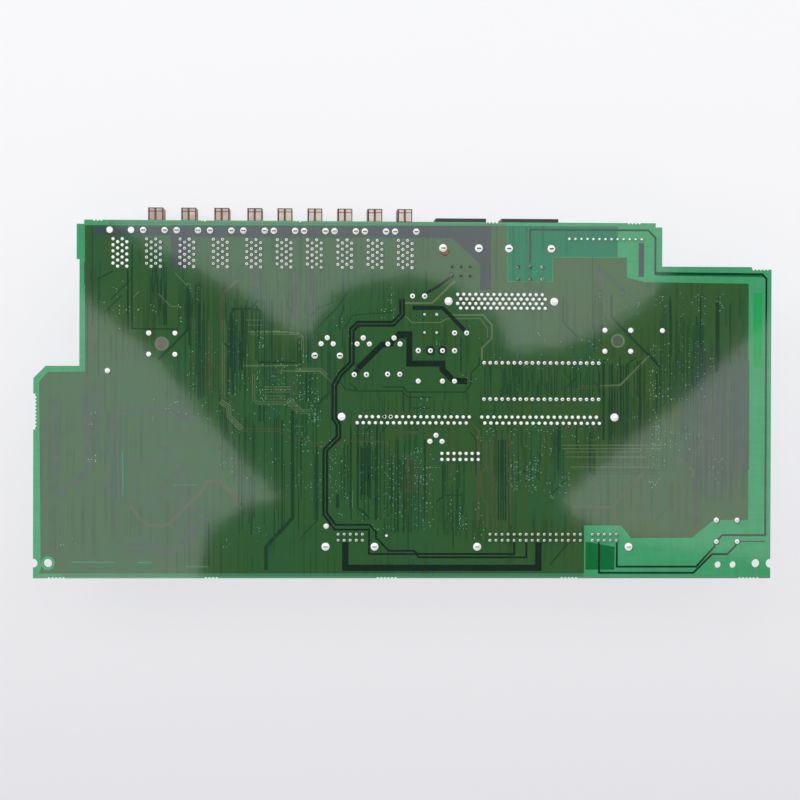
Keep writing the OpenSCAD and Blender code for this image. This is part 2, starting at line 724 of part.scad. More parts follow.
module dip_package() {
    notch_r = 1.5;
    notch_d = 0.6;
    color([0.1, 0.1, 0.11]) on_board() difference() {
        translate([dip_mid[0] - dip_body[0] / 2, dip_mid[1] - dip_body[1] / 2, stand_h - dip_gap - dip_body[2]])
            cube(dip_body);
        translate([dip_mid[0] - dip_body[0] / 2, dip_mid[1], stand_h - dip_gap - dip_body[2] - cut])
            cylinder(r = notch_r, h = cut + notch_d);
    }
}

module dip_leads() {
    shoulder_w = 1.2;
    z = stand_h - dip_gap - dip_body[2] / 2;
    reach = (dip_row - dip_body[1]) / 2;
    color("silver") on_board() for (r = [0, 1], c = [0:dip_n - 1])
        translate([dip_x + c * grid, dip_y - r * dip_row, 0]) {
            translate([-shoulder_w / 2, r == 0 ? -reach : -dip_lead_t / 2, z])
                cube([shoulder_w, reach + dip_lead_t / 2, dip_lead_t]);
            translate([-pin_w / 2, -dip_lead_t / 2, z]) cube([pin_w, dip_lead_t, board_top + lead_out - z]);
        }
}

// ---- edge headers ----

edge_front = 0.4;
edge_depth = 14.2;
edge_cavity = 8.5;
edge_mouth = 4.6;
edge_end = 2;
edge_pocket = 1.6;
function edge_level(r) = stand_h - edge_h / 2 + (r == 1 ? 1 : -1) * half;

module edge_header(x, n, skip, lugs) {
    w = lugs[1] - lugs[0] + 2 * edge_end;
    wall = edge_wall;
    margin = 1.2;
    cavity = [n * grid + 2 * margin, edge_cavity, edge_h - 2 * wall];
    color([0.1, 0.1, 0.1]) on_board() difference() {
        translate([lugs[0] - edge_end, edge_front, stand_h - edge_h]) cube([w, edge_depth, edge_h]);
        translate([x - half - margin, edge_front - cut, stand_h - edge_h + wall])
            cube([cavity[0], cavity[1] + cut, cavity[2]]);
        for (r = [0, 1], c = [0:n - 1]) if (c != skip)
            translate([x + c * grid - pin_w / 2 - wet_gap, edge_front + cut, edge_level(r) - pin_w / 2 - wet_gap])
                cube([pin_w + 2 * wet_gap, edge_depth, pin_w + 2 * wet_gap]);
        at(edge_lugs(lugs)) pocket(lug_w, lug_t, edge_pocket);
    }
}

module edge_leads(x, n, skip, lugs) {
    color("gold") on_board() {
        for (r = [0, 1], c = [0:n - 1]) if (c != skip) translate([x + c * grid - pin_w / 2, 0, 0]) {
            y = edge_y - r * grid;
            z = edge_level(r);
            translate([0, edge_front + edge_mouth, z - pin_w / 2])
                cube([pin_w, y + pin_w / 2 - edge_front - edge_mouth, pin_w]);
            translate([pin_w / 2, y, 0]) lead(pin_w, stand_h - z + pin_w / 2);
        }
        at(edge_lugs(lugs)) blade(lug_w, lug_t, edge_pocket);
    }
}

module edge_header_1() { edge_header(edge1_x, edge1_n, -1, edge1_lug_x); }
module edge_header_2() { edge_header(edge2_x, edge2_n, edge2_skip, edge2_lug_x); }
module edge_pins_1() { edge_leads(edge1_x, edge1_n, -1, edge1_lug_x); }
module edge_pins_2() { edge_leads(edge2_x, edge2_n, edge2_skip, edge2_lug_x); }

// ---- threaded spacers ----

spacer_thread = 12;

module spacers() {
    rim = 1.1;
    plate = [plate_leg[0] + 2 * rim, plate_leg[1] + 2 * rim, 1];
    boss_r = spacer_d / 2 - boss_step - 0.1;
    color("lightslategray") on_board() {
        for (p = spacer_at) translate([p[0], p[1], 0]) difference() {
            union() {
                cylinder(d = spacer_d, h = stand_h - plate[2] / 2);
                translate([-plate[0] / 2, -plate[1] / 2, stand_h - plate[2]]) cube(plate);
                translate([0, 0, stand_h - plate[2]]) cylinder(r = boss_r, h = plate[2] + board_t);
                for (sx = [-1, 1], sy = [-1, 1]) translate([sx * plate_leg[0] / 2, sy * plate_leg[1] / 2, 0])
                    lead(part_lead_w, plate[2]);
            }
            translate([0, 0, -cut]) cylinder(d = spacer_bore_d, h = spacer_thread + cut, $fn = 48);
        }
    }
}

// ---- parts with wire leads ----

bung_gap = 0.5;
small_cap_d = 7.6;
small_cap_h = 12;

// Can with a rolled groove near the leads and a chamfered far end
module can(d, h) {
    r = d / 2;
    groove = 0.45;
    translate([0, 0, stand_h - bung_gap - h]) rotate_extrude() polygon([
        [0, 0], [r - 0.5, 0], [r, 0.5], [r, h - 3], [r - groove, h - 2.4], [r, h - 1.8], [r, h - 0.3],
        [r - 0.3, h], [0, h]]);
}

module capacitor_cans() {
    color("midnightblue") on_board() {
        at(cap_at) can(cap_d, stand_h - bung_gap);
        at(small_cap_at) can(small_cap_d, small_cap_h);
    }
}

module capacitor_leads() {
    color("silver") on_board() at(concat(pairs(cap_at), pairs(small_cap_at))) lead(part_lead_w, bung_gap);
}

module film_capacitors() {
    body = [7.4, 3.6, 7.6];
    color("goldenrod") on_board() {
        at(film_cap_at) translate([-body[0] / 2, -body[1] / 2, stand_h - bung_gap - body[2]]) cube(body);
        at(pairs(film_cap_at)) lead(part_lead_w, bung_gap);
    }
}

module choke() {
    body = [20, 11, 12];
    chamfer = 1.5;
    mid = (choke_leads[0] + choke_leads[2]) / 2;
    color("darkslategray") on_board() {
        translate([mid[0], mid[1], stand_h - bung_gap - body[2]]) linear_extrude(body[2]) polygon([
            for (s = [[1, 1], [-1, 1], [-1, -1], [1, -1]], k = [0, 1])
                let (a = s[0] * s[1] > 0 ? k : 1 - k)
                [s[0] * (body[0] / 2 - (a == 1 ? chamfer : 0)), s[1] * (body[1] / 2 - (a == 0 ? chamfer : 0))]]);
        at(choke_leads) lead(part_lead_w, bung_gap);
    }
}

// Finned heat sink that stands on two lugs beside the first power transistor
sink_t = 1.6;
sink_back = sink_lugs[0][1] + sink_t / 2;
sink_gap = 1;
module heat_sink() {
    w = 15.6;
    fins = 5;
    fin_t = 1;
    fin_l = 6.4;
    mid = (sink_lugs[0][0] + sink_lugs[1][0]) / 2;
    color("dimgray") on_board() {
        translate([mid, sink_back, stand_h - sink_gap - sink_h]) linear_extrude(sink_h) {
            translate([-w / 2, -sink_t]) square([w, sink_t]);
            for (i = [0:fins - 1]) translate([-w / 2 + i * (w - fin_t) / (fins - 1), -sink_t - fin_l])
                square([fin_t, fin_l + sink_t]);
        }
        at(sink_lugs) blade(lug_w, lug_t, sink_gap + 3);
    }
}

module power_transistors() {
    lead_l = 6;
    body = [10, 4.6, 9];
    hole_r = 1.8;
    tab = [body[0], 1.3, hole_r * 3.6];
    bend = 1;
    lead_y = 0.5;
    color("darkgray") on_board() for (p = triple_at) translate([p[0], p[1] - grid + lead_y, 0]) {
        difference() {
            union() {
                translate([-body[0] / 2, -body[1], stand_h - lead_l - body[2]]) cube(body);
                translate([-tab[0] / 2, -body[1], stand_h - lead_l - body[2] - tab[2]])
                    cube([tab[0], tab[1], tab[2] + cut]);
            }
            translate([0, -body[1] - cut, stand_h - lead_l - body[2] - tab[2] / 2]) rotate([-90, 0, 0])
                cylinder(r = hole_r, h = tab[1] + 2 * cut);
        }
        for (s = [-1, 1]) translate([s * grid, -lead_y, 0]) lead(part_lead_w, lead_l + cut);
        translate([0, grid - lead_y, 0]) lead(part_lead_w, lead_l / 2);
        translate([-part_lead_w / 2, -bend, stand_h - lead_l / 2])
            cube([part_lead_w, grid + lead_y, part_lead_w]);
        translate([-part_lead_w / 2, -bend - part_lead_w / 2, stand_h - lead_l - cut])
            cube([part_lead_w, part_lead_w, lead_l / 2 + cut + part_lead_w]);
    }
}

module trimmer() {
    side = 6.4;
    dial_r = 2.6;
    color("steelblue") on_board() translate([trimmer_at[0], trimmer_at[1] - half, 0]) {
        translate([-side / 2, -side / 2, stand_h - bung_gap - side]) cube(side);
        translate([0, 0, stand_h - bung_gap - side - 0.8]) cylinder(r = dial_r, h = 1);
        at(triple([0, half])) lead(part_lead_w, bung_gap);
    }
}

module test_posts() {
    bead_r = 1.2;
    color("silver") on_board() at(post_at) {
        lead(part_lead_w, 5);
        translate([0, 0, stand_h - 1]) cylinder(r = bead_r, h = 1);
    }
}

module sounder() {
    side = 13;
    tall = 9;
    vent_r = 1;
    vent_d = 2;
    color([0.12, 0.12, 0.12]) on_board() {
        translate([from_right(sounder_inset), sounder_y, stand_h - bung_gap - tall]) difference() {
            translate([-side / 2, -side / 2, 0]) cube([side, side, tall]);
            translate([0, 0, -cut]) cylinder(r = vent_r, h = cut + vent_d);
        }
        at(sounder_legs()) lead(part_lead_w, bung_gap);
    }
}

// ---- surface-mounted circuits ----

chip_lift = 0.2;
module chip_packages() {
    color([0.13, 0.13, 0.14]) on_board() for (c = chip_at)
        translate([c[0], c[1], stand_h - chip_lift - chip_h]) linear_extrude(chip_h) difference() {
            square(c[2], center = true);
            translate([-c[2] / 2, c[2] / 2]) rotate(45) square(2, center = true);
        }
}

// Gull-wing leads on all four sides, each a bent strip drawn from its side
module chip_leads() {
    w = 0.4;
    t = 0.2;
    knee = chip_lift + chip_h / 2;
    color("silver") on_board() for (c = chip_at, side = [0:3], k = [0:chip_leads - 1])
        translate([c[0], c[1], stand_h]) rotate(side * 90)
            translate([c[2] / 2, (k - (chip_leads - 1) / 2) * (c[2] - 5) / (chip_leads - 1) + w / 2, 0])
                rotate([90, 0, 0]) linear_extrude(w) polygon([
                    [0, -knee], [0.6, -knee], [0.6, -t], [chip_foot, -t], [chip_foot, 0],
                    [0.6 - t, 0], [0.6 - t, -knee + t], [0, -knee + t]]);
}

// ---- the nodes ----

board();
heavy_tracks();
solder_signal();
solder_unfitted();
solder_sockets();
solder_lugs();
solder_parts();
signal_contacts();
for (i = [1:io_count]) {
    signal_shell(i);
    signal_body(i);
}
power_housing_1();
power_housing_2();
power_tabs_1();
power_tabs_2();
strip_base();
strip_contacts();
stack_housing();
stack_contacts();
module_socket();
module_contacts();
module_latches();
dip_package();
dip_leads();
mid_header_base();
mid_header_pins();
edge_header_1();
edge_header_2();
edge_pins_1();
edge_pins_2();
spacers();
capacitor_cans();
capacitor_leads();
film_capacitors();
choke();
heat_sink();
power_transistors();
trimmer();
test_posts();
sounder();
chip_packages();
chip_leads();
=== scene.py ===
"""Finish of a printed circuit board that lies with its solder side up, on the tall parts of its other side.

The packed board is the frame. Its sides, places and sizes come from there, and the copper, the plated
dots and the solder are added as thin closed meshes on its upper face."""

import itertools

import bpy
import numpy as np
from mathutils import Euler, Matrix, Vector
from mathutils.geometry import tessellate_polygon


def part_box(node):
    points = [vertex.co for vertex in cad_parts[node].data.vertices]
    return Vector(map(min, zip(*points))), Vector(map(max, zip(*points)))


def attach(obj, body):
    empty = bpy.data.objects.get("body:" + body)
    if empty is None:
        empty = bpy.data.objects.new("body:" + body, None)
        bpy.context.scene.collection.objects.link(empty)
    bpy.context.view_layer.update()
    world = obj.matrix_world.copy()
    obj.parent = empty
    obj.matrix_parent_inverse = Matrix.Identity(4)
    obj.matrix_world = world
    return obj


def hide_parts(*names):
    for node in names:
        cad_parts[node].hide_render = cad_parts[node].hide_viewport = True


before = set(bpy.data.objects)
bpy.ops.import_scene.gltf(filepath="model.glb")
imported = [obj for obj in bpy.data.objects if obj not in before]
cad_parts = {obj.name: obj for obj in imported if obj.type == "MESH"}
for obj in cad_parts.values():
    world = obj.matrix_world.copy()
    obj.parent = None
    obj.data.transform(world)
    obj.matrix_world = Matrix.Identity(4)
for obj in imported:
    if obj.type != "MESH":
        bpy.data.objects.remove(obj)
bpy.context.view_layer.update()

bl_info = {
    "name": "Circuit Board Finish",
    "version": (1, 0, 0),
    "blender": (4, 5, 0),
    "location": "3D View > Sidebar > Board",
    "description": "Solder mask, copper, solder and part finishes for a bare circuit board",
    "category": "Object",
}

MM = 0.001
BOARD_LOW, BOARD_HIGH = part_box("board")
CORNER = np.array([BOARD_LOW.x, BOARD_LOW.y])
TOP = BOARD_HIGH.z
# Corners of a CAD node are rounded to this, to find those at one place
SAME_PLACE = 0.001 * MM
# A face whose normal has a smaller height than this counts as a side
STEEP = 0.6
# Depth of the brushing on metal
METAL_BUMP = 0.008 * MM
# Lines: how many heights they share, and the step between two of them as a share of a line's height
HEIGHTS, HEIGHT_STEP = 89, 0.016
# Millimetres between the places of field lines, and between plated dots
LINE_GRID, DOT_GRID = 0.42, (1.27, 0.635)
# Shares: field lines that step aside, dots in a clearance, joints that cover their lead
STEPPED_SHARE, CLEARED_SHARE, COVERED_SHARE = 0.3, 0.55, 0.2
# A joint that covers its lead is higher by this share
COVERING_CAP = 0.6
# In millimetres: least distance from a plated dot to a pad, and the height, margin and offset of the
# painted shadow under each joint: a dark disc moved to the joint's lower right
DOT_GAP = 0.4
JOINT_SHADOW_RISE, JOINT_SHADOW_MARGIN, JOINT_SHADOW_ASIDE = 0.07, 0.14, (0.1, -0.1)
LINE_SEED, SOLDER_SEED = 7, 11


# ---- sizes and colours that a user would change ----


def size(name, description, millimetres):
    """A length property whose default is given in millimetres."""
    return bpy.props.FloatProperty(
        name=name, description=description, default=millimetres * MM, min=0, subtype="DISTANCE",
        unit="LENGTH", precision=5)


def tint(name, description, red, green, blue):
    """A colour property."""
    return bpy.props.FloatVectorProperty(
        name=name, description=description, default=(red, green, blue), min=0, max=1, size=3,
        subtype="COLOR")


def number(name, description, default, low=0.0, high=10.0):
    """A plain number property."""
    return bpy.props.FloatProperty(name=name, description=description, default=default, min=low, max=high)


class BoardMaskSettings(bpy.types.PropertyGroup):
    """Solder mask over bare laminate and over copper"""

    laminate: tint("Laminate", "Mask with only glass laminate under it", 0.052, 0.312, 0.138)
    # Painted shade: laminate drawn darker where parts on the far side of the board block the light through
    # it
    laminate_shaded: tint("Shaded laminate", "Mask over laminate that backs a dense part", 0.004, 0.125, 0.030)
    edge: tint("Cut edge", "Sawn edge of the laminate", 0.16, 0.22, 0.12)
    plane: tint("Plane", "Mask over the copper plane", 0.024, 0.094, 0.028)
    plane_warm: tint("Warm plane", "Mask over the plane where inner copper shows", 0.040, 0.090, 0.020)
    teal: tint("Teal", "Mask over an inner plane at the power connectors", 0.012, 0.165, 0.082)
    screen: tint("Screen strip", "Mask over the screen copper", 0.046, 0.064, 0.066)
    dense: tint("Dense copper", "Mask over the plane where inner lines crowd", 0.026, 0.058, 0.030)
    # Painted shade: strips along the long edges drawn darker, as parts on the far side of the board block
    # the light through the laminate
    rim: tint("Rim", "Mask over the laminate between the plane and the long edges", 0.045, 0.195, 0.090)
    clear: tint("Clear strip", "Mask over laminate with no copper behind it", 0.018, 0.310, 0.070)
    ring: tint("Ring", "Mask over the copper ring round a spacer", 0.075, 0.150, 0.070)
    track: tint("Heavy track", "Mask over heavy copper", 0.005, 0.017, 0.011)
    gloss: number("Gloss", "Roughness of the mask", 0.05, 0.02, 1.0)
    skin: size("Mask step", "Height of the mask over copper above the laminate", 0.02)


class BoardTraceSettings(bpy.types.PropertyGroup):
    """Fine copper lines and plated dots"""

    dark: tint("Dark line", "Line etched in the plane", 0.009, 0.042, 0.017)
    brown: tint("Brown line", "Inner line that shows through", 0.052, 0.078, 0.032)
    pale: tint("Pale line", "Line on the outer layer", 0.095, 0.150, 0.072)
    grey: tint("Grey line", "Line over screen copper", 0.040, 0.062, 0.052)
    teal: tint("Teal line", "Gap in the plane that shows laminate", 0.015, 0.160, 0.090)
    soft: tint("Soft line", "Inner line under the plane", 0.014, 0.061, 0.023)
    blue: tint("Blue line", "Inner line over thin copper", 0.010, 0.072, 0.042)
    dot: tint("Plated dot", "Mask that fills a plated dot", 0.19, 0.42, 0.33)
    rise: size("Line height", "Height of a line over the laminate", 0.035)
    dot_rise: size("Dot height", "Height of a dot over the laminate", 0.05)
    dot_radius: size("Dot radius", "Radius of a plated dot", 0.19)


class BoardSolderSettings(bpy.types.PropertyGroup):
    """Solder on the pads"""

    tin: tint("Solder", "Bright tin solder", 1.0, 1.0, 0.99)
    lead: tint("Lead", "Tinned lead", 0.62, 0.61, 0.58)
    # Painted shade: the top end of a cut lead is drawn nearly black, as the end looks in shade
    tip: tint("Lead tip", "Cut end of a lead", 0.030, 0.024, 0.022)
    flux: tint("Flux", "Flux that ran out beside a lug", 0.13, 0.055, 0.022)
    flux_film: tint("Flux film", "Thin film of flux on the solder", 0.32, 0.22, 0.13)
    tip_length: size("Tip length", "Length of the cut end above the solder", 0.25)
    fillet: size("Fillet height", "Height of the solder round a header pin", 0.5)
    lug_fillet: size("Lug fillet height", "Height of the solder round a lug", 0.7)
    crown: size("Crown height", "Height of the solder that closes an empty hole", 0.5)
    spread: number("Spread", "Share by which the fillets differ", 0.2, 0.0, 0.5)


class BoardMetalSettings(bpy.types.PropertyGroup):
    """Metal parts"""

    shell: tint("Shell", "Plated shell of a signal connector", 0.20, 0.14, 0.115)
    # Painted shade: dark fold lines drawn where the shells' sheet is creased
    fold: tint("Fold", "Dark fold of a shell", 0.085, 0.05, 0.038)
    # Painted reflection: the windows are drawn brown at the left of the row of shells and pale at its right,
    # by their place alone
    left_window: tint("Left window", "Bright window of the leftmost shell", 0.50, 0.37, 0.33)
    right_window: tint("Right window", "Bright window of the rightmost shell", 0.70, 0.58, 0.52)
    worn_window: tint("Worn window", "Rubbed patch of a bright window", 0.76, 0.68, 0.61)
    # Painted reflection: the spacers are alike, but the left one is drawn lighter and browner, with a darker
    # mottle, and the right one darker, as each mirrors a different part of the room. The rim round each boss
    # is greenish.
    left_spacer_reflection: tint("Left spacer", "Dull plating of the left spacer", 0.17, 0.15, 0.125)
    left_spacer_mottle: tint("Left spacer's dull patch", "Stain on the left spacer", 0.11, 0.095, 0.08)
    right_spacer_reflection: tint("Right spacer", "Dull plating of the right spacer", 0.07, 0.09, 0.062)
    pale_rim: tint("Worn rim", "Rubbed rim of a spacer's boss", 0.16, 0.24, 0.145)
    latch: tint("Latch", "Spring steel of the module latches", 0.55, 0.55, 0.54)
    sink: tint("Heat sink", "Blackened aluminium", 0.035, 0.035, 0.038)


class BoardPartSettings(bpy.types.PropertyGroup):
    """Plastic parts and packages"""

    nylon: tint("Nylon", "Black header and housing", 0.022, 0.026, 0.027)
    grey: tint("Grey moulding", "Body of a signal connector", 0.10, 0.10, 0.11)
    ivory: tint("Ivory moulding", "Module socket", 0.62, 0.58, 0.48)
    resin: tint("Package resin", "Package of a chip or transistor", 0.020, 0.020, 0.022)
    dipped: tint("Dipped resin", "Film capacitor", 0.50, 0.30, 0.06)
    ferrite: tint("Ferrite", "Choke", 0.045, 0.05, 0.05)
    blue: tint("Blue moulding", "Trimmer", 0.03, 0.12, 0.32)
    sleeve: tint("Sleeve", "Shrunk sleeve of a capacitor can", 0.012, 0.018, 0.055)
    sleeve_light: tint("Light sleeve", "Wrinkle of the sleeve", 0.02, 0.03, 0.085)
    can: tint("Can", "Bare aluminium of a capacitor can", 0.66, 0.66, 0.66)
    tab: tint("Tab", "Metal tab of a power transistor", 0.5, 0.5, 0.49)
    tab_light: tint("Light tab", "Rubbed patch of a tab", 0.66, 0.66, 0.64)


class BoardStageSettings(bpy.types.PropertyGroup):
    """Floor, lights and camera"""

    floor: tint("Floor", "Pale floor", 0.84, 0.84, 0.86)
    floor_shown: tint("Floor in view", "Floor as the camera sees it, far side", 0.95, 0.95, 0.97)
    # Painted shade: the floor's shown colour is darker at the view's near side than at its far side
    floor_near: tint("Near floor in view", "Floor as the camera sees it, near side", 0.72, 0.715, 0.75)
    floor_share: number("Floor share", "Share of the floor's shown colour that takes no shadow", 0.84)
    view_distance: size("View distance", "Distance from the camera to the board", 900)
    lens: number("Lens", "Focal length in millimetres", 96.69, 10.0, 300.0)
    tilt: bpy.props.FloatVectorProperty(
        name="Tilt", description="Turn of the camera from straight above", size=3, subtype="EULER",
        unit="ROTATION", default=(0.00664, 0.04055, -0.00322))
    aim: bpy.props.FloatVectorProperty(
        name="Aim", description="Point of the board under the picture's middle, from its corner", size=2,
        subtype="XYZ", unit="LENGTH", default=(0.15268, 0.07471))
    ceiling: tint("Ceiling", "Dark ceiling", 0.16, 0.16, 0.165)
    ceiling_light: tint("Light ceiling", "Pale patch of the ceiling", 0.2, 0.2, 0.2)
    panel: tint("Panel", "Face of a light panel", 0.8, 0.8, 0.8)
    panel_glow: tint("Panel glow", "Light of a panel", 0.92, 0.99, 0.97)
    ceiling_height: size("Ceiling height", "Height of the dark ceiling", 1600)
    ceiling_radius: size("Ceiling radius", "Radius of the dark ceiling", 900)
    panel_drop: size("Panel drop", "Distance from the ceiling down to the light panels", 30)
    panel_light: number("Panel light", "Strength of the light panels", 1.95)
    sky: number("Sky", "Strength of the light from all round", 0.54)
    key: number("Key light", "Power of the strongest lamp in watts", 10.0, 0.0, 500.0)


# ---- shader tools ----


class Wire:
    """An output socket. Arithmetic on it adds the Math node for that step."""

    def __init__(self, paint, socket):
        self.paint = paint
        self.socket = socket

    def math(self, operation, *values):
        """The result of one Math node."""
        return self.paint.node("ShaderNodeMath", {"operation": operation}, dict(enumerate(values)))

    def __add__(self, other):
        return self.math("ADD", self, other)

    def __sub__(self, other):
        return self.math("SUBTRACT", self, other)

    def __rsub__(self, other):
        return self.math("SUBTRACT", other, self)

    def __mul__(self, other):
        return self.math("MULTIPLY", self, other)

    def __gt__(self, other):
        return self.math("GREATER_THAN", self, other)

    def __lt__(self, other):
        return self.math("LESS_THAN", self, other)

    def __abs__(self):
        return self.math("ABSOLUTE", self)

    def ramp(self, low, high):
        """0 below low, 1 above high, and a smooth rise between them."""
        settings = {"interpolation_type": "SMOOTHSTEP"}
        inputs = {"Value": self, "From Min": low, "From Max": high}
        return self.paint.node("ShaderNodeMapRange", settings, inputs)


class Paint:
    def __init__(self, name):
        self.material = bpy.data.materials.new(name)
        self.material.use_nodes = True
        self.tree = self.material.node_tree
        self.shader = self.tree.nodes["Principled BSDF"]
        self.place = self.node("ShaderNodeTexCoord", out="Object")

    def node(self, kind, settings=None, inputs=None, out=0):
        """A new node's output, its settings and inputs given by name or number."""
        made = self.tree.nodes.new(kind)
        for key, value in (settings or {}).items():
            setattr(made, key, value)
        for key, value in (inputs or {}).items():
            self.feed(made.inputs[key], value)
        return Wire(self, made.outputs[out])

    def feed(self, socket, value):
        """Links a wire to an input, or sets its colour or number."""
        if isinstance(value, Wire):
            self.tree.links.new(value.socket, socket)
        elif socket.type == "RGBA":
            socket.default_value = (*value[:3], 1.0)
        else:
            socket.default_value = value

    def axis(self, name):
        """One of the object's coordinates X, Y or Z, in metres."""
        return self.node("ShaderNodeSeparateXYZ", None, {"Vector": self.place}, out=name)

    def noise(self, stretch, detail=2.0):
        """Soft noise from 0 to 1. stretch is the count of lumps in a metre, on each axis or on all."""
        stretch = stretch if isinstance(stretch, tuple) else (stretch,) * 3
        place = self.node("ShaderNodeVectorMath", {"operation": "MULTIPLY"}, {0: self.place, 1: stretch})
        return self.node("ShaderNodeTexNoise", None, {"Vector": place, "Scale": 1.0, "Detail": detail})

    def mix(self, share, first, second):
        """Colour that goes from first to second as share goes from 0 to 1."""
        return self.node("ShaderNodeMix", {"data_type": "RGBA"}, {0: share, 6: first, 7: second}, out=2)

    def side_face(self):
        """1 where the face stands upright."""
        normal = self.node("ShaderNodeNewGeometry", out="Normal")
        return abs(self.node("ShaderNodeSeparateXYZ", None, {"Vector": normal}, out="Z")) < STEEP

    def finish(self, colour, rough, metal=0.0, bump=None, bump_depth=0.0, shine=0.5):
        """The material, with its shader set. bump_depth is in metres."""
        self.feed(self.shader.inputs["Base Color"], colour)
        self.feed(self.shader.inputs["Roughness"], rough)
        self.feed(self.shader.inputs["Metallic"], metal)
        self.shader.inputs["Specular IOR Level"].default_value = shine
        if bump is not None:
            normal = self.node("ShaderNodeBump", None,
                               {"Strength": 1.0, "Distance": bump_depth, "Height": bump}, out="Normal")
            self.feed(self.shader.inputs["Normal"], normal)
        return self.material

    def blend(self, share, other):
        """Puts another shader over the main one, by a share from 0 to 1."""
        output = self.tree.nodes["Material Output"].inputs["Surface"]
        self.feed(output, self.node("ShaderNodeMixShader", None,
                                    {0: share, 1: Wire(self, self.shader.outputs[0]), 2: other}))


def shade(colour, share):
    """A colour made lighter or darker by a share."""
    return tuple(min(1.0, max(0.0, c * share)) for c in colour)


# ---- mesh tools ----


def from_corner(points):
    """Points in millimetres from the board's lower left corner, as metres in the frame."""
    return np.asarray(points, float) * MM + CORNER


def add_object(name, verts, faces, material, smooth=False):
    """An object at the origin, its mesh made of plain data."""
    mesh = bpy.data.meshes.new(name)
    mesh.from_pydata(np.asarray(verts, float).tolist(), [], [list(map(int, face)) for face in faces])
    mesh.materials.append(material)
    mesh.polygons.foreach_set("use_smooth", [smooth] * len(mesh.polygons))
    made = bpy.data.objects.new(name, mesh)
    bpy.context.scene.collection.objects.link(made)
    return made


def add_piece(name, verts, faces, material, smooth=False):
    """A mesh of plain data that rides on the board."""
    piece = add_object(name, verts, faces, material, smooth)
    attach(piece, "root")
    return piece


def arc(middle, radius, start, end, steps=10):
    """Points on a circle from one angle to another, in degrees."""
    angle = np.radians(np.linspace(start, end, steps))
    return np.column_stack([middle[0] + radius * np.cos(angle), middle[1] + radius * np.sin(angle)])


def slab(outline, holes, high, low):
    """A flat plate with holes: its outline and holes at two heights, joined by upright walls.
    The two flat faces are the outline cut into triangles, the upper one turned round, so that all the
    faces look into the plate."""
    rings = [np.asarray(ring, float) for ring in [outline, *holes]]
    flat = np.concatenate(rings)
    count = len(flat)
    cut = np.array(tessellate_polygon([[Vector((*point, 0)) for point in ring] for ring in rings]))
    a, b, c = flat[cut[:, 0]], flat[cut[:, 1]], flat[cut[:, 2]]
    turn = (b[:, 0] - a[:, 0]) * (c[:, 1] - a[:, 1]) - (b[:, 1] - a[:, 1]) * (c[:, 0] - a[:, 0])
    cut[turn < 0] = cut[turn < 0][:, ::-1]
    faces = [*cut, *(cut[:, ::-1] + count)]
    start = 0
    for place, ring in enumerate(rings):
        step = np.roll(ring, -1, axis=0)
        area = np.sum(ring[:, 0] * step[:, 1] - ring[:, 1] * step[:, 0])
        here = start + np.arange(len(ring))
        there = start + np.roll(np.arange(len(ring)), -1)
        wall = np.column_stack([there, here, here + count, there + count])
        same_turn = (area > 0) == (place == 0)
        faces += [*(wall if same_turn else wall[:, ::-1])]
        start += len(ring)
    verts = np.concatenate([np.column_stack([flat, np.full(count, height)]) for height in (low, high)])
    return verts, faces


def plates(outlines, holes, high, low):
    """Flat plates in one mesh: each outline with the holes at its place in the list, if any."""
    verts, faces, start = [], [], 0
    for outline, cuts in itertools.zip_longest(outlines, holes, fillvalue=()):
        flat, cut = slab(outline, cuts, high, low)
        verts.append(flat)
        faces += [[index + start for index in face] for face in cut]
        start += len(flat)
    return np.concatenate(verts), faces


def sideways(path):
    """One step to the left at each point of a path: the sum of its two legs' normals over one plus
    their dot product, which keeps the distance to both legs at one."""
    leg = np.diff(path, axis=0)
    leg /= np.linalg.norm(leg, axis=1)[:, None]
    normal = np.column_stack([-leg[:, 1], leg[:, 0]])
    before, after = np.vstack([normal[:1], normal]), np.vstack([normal, normal[-1:]])
    return (before + after) / (1 + np.sum(before * after, axis=1))[:, None]


def ribbons(paths, widths, low, highs):
    """Flat lines with mitred corners: each point of a path steps half the width to both sides, at
    two heights."""
    verts, faces, start = [], [], 0
    for path, width, high in zip(paths, widths, highs):
        path = np.asarray(path, float)
        side = sideways(path) * width / 2
        ring = np.stack([path - side, path + side, path + side, path - side], axis=1)
        height = np.array([high, high, low, low])
        count = len(path)
        verts.append(np.dstack([ring, np.broadcast_to(height, (count, 4))]).reshape(-1, 3))
        corner = start + 4 * np.arange(count - 1)[:, None] + np.arange(4)[None]
        around = start + 4 * np.arange(count - 1)[:, None] + np.roll(np.arange(4), -1)[None]
        faces += np.stack([corner, corner + 4, around + 4, around], axis=2).reshape(-1, 4).tolist()
        last = start + 4 * (count - 1)
        faces += [[start, start + 1, start + 2, start + 3], [last + 3, last + 2, last + 1, last]]
        start += 4 * count
    return np.concatenate(verts), faces


def drum(radius, height):
    """Profile of a low drum."""
    return [(0, 0), (radius, 0), (radius, height), (0, height)]


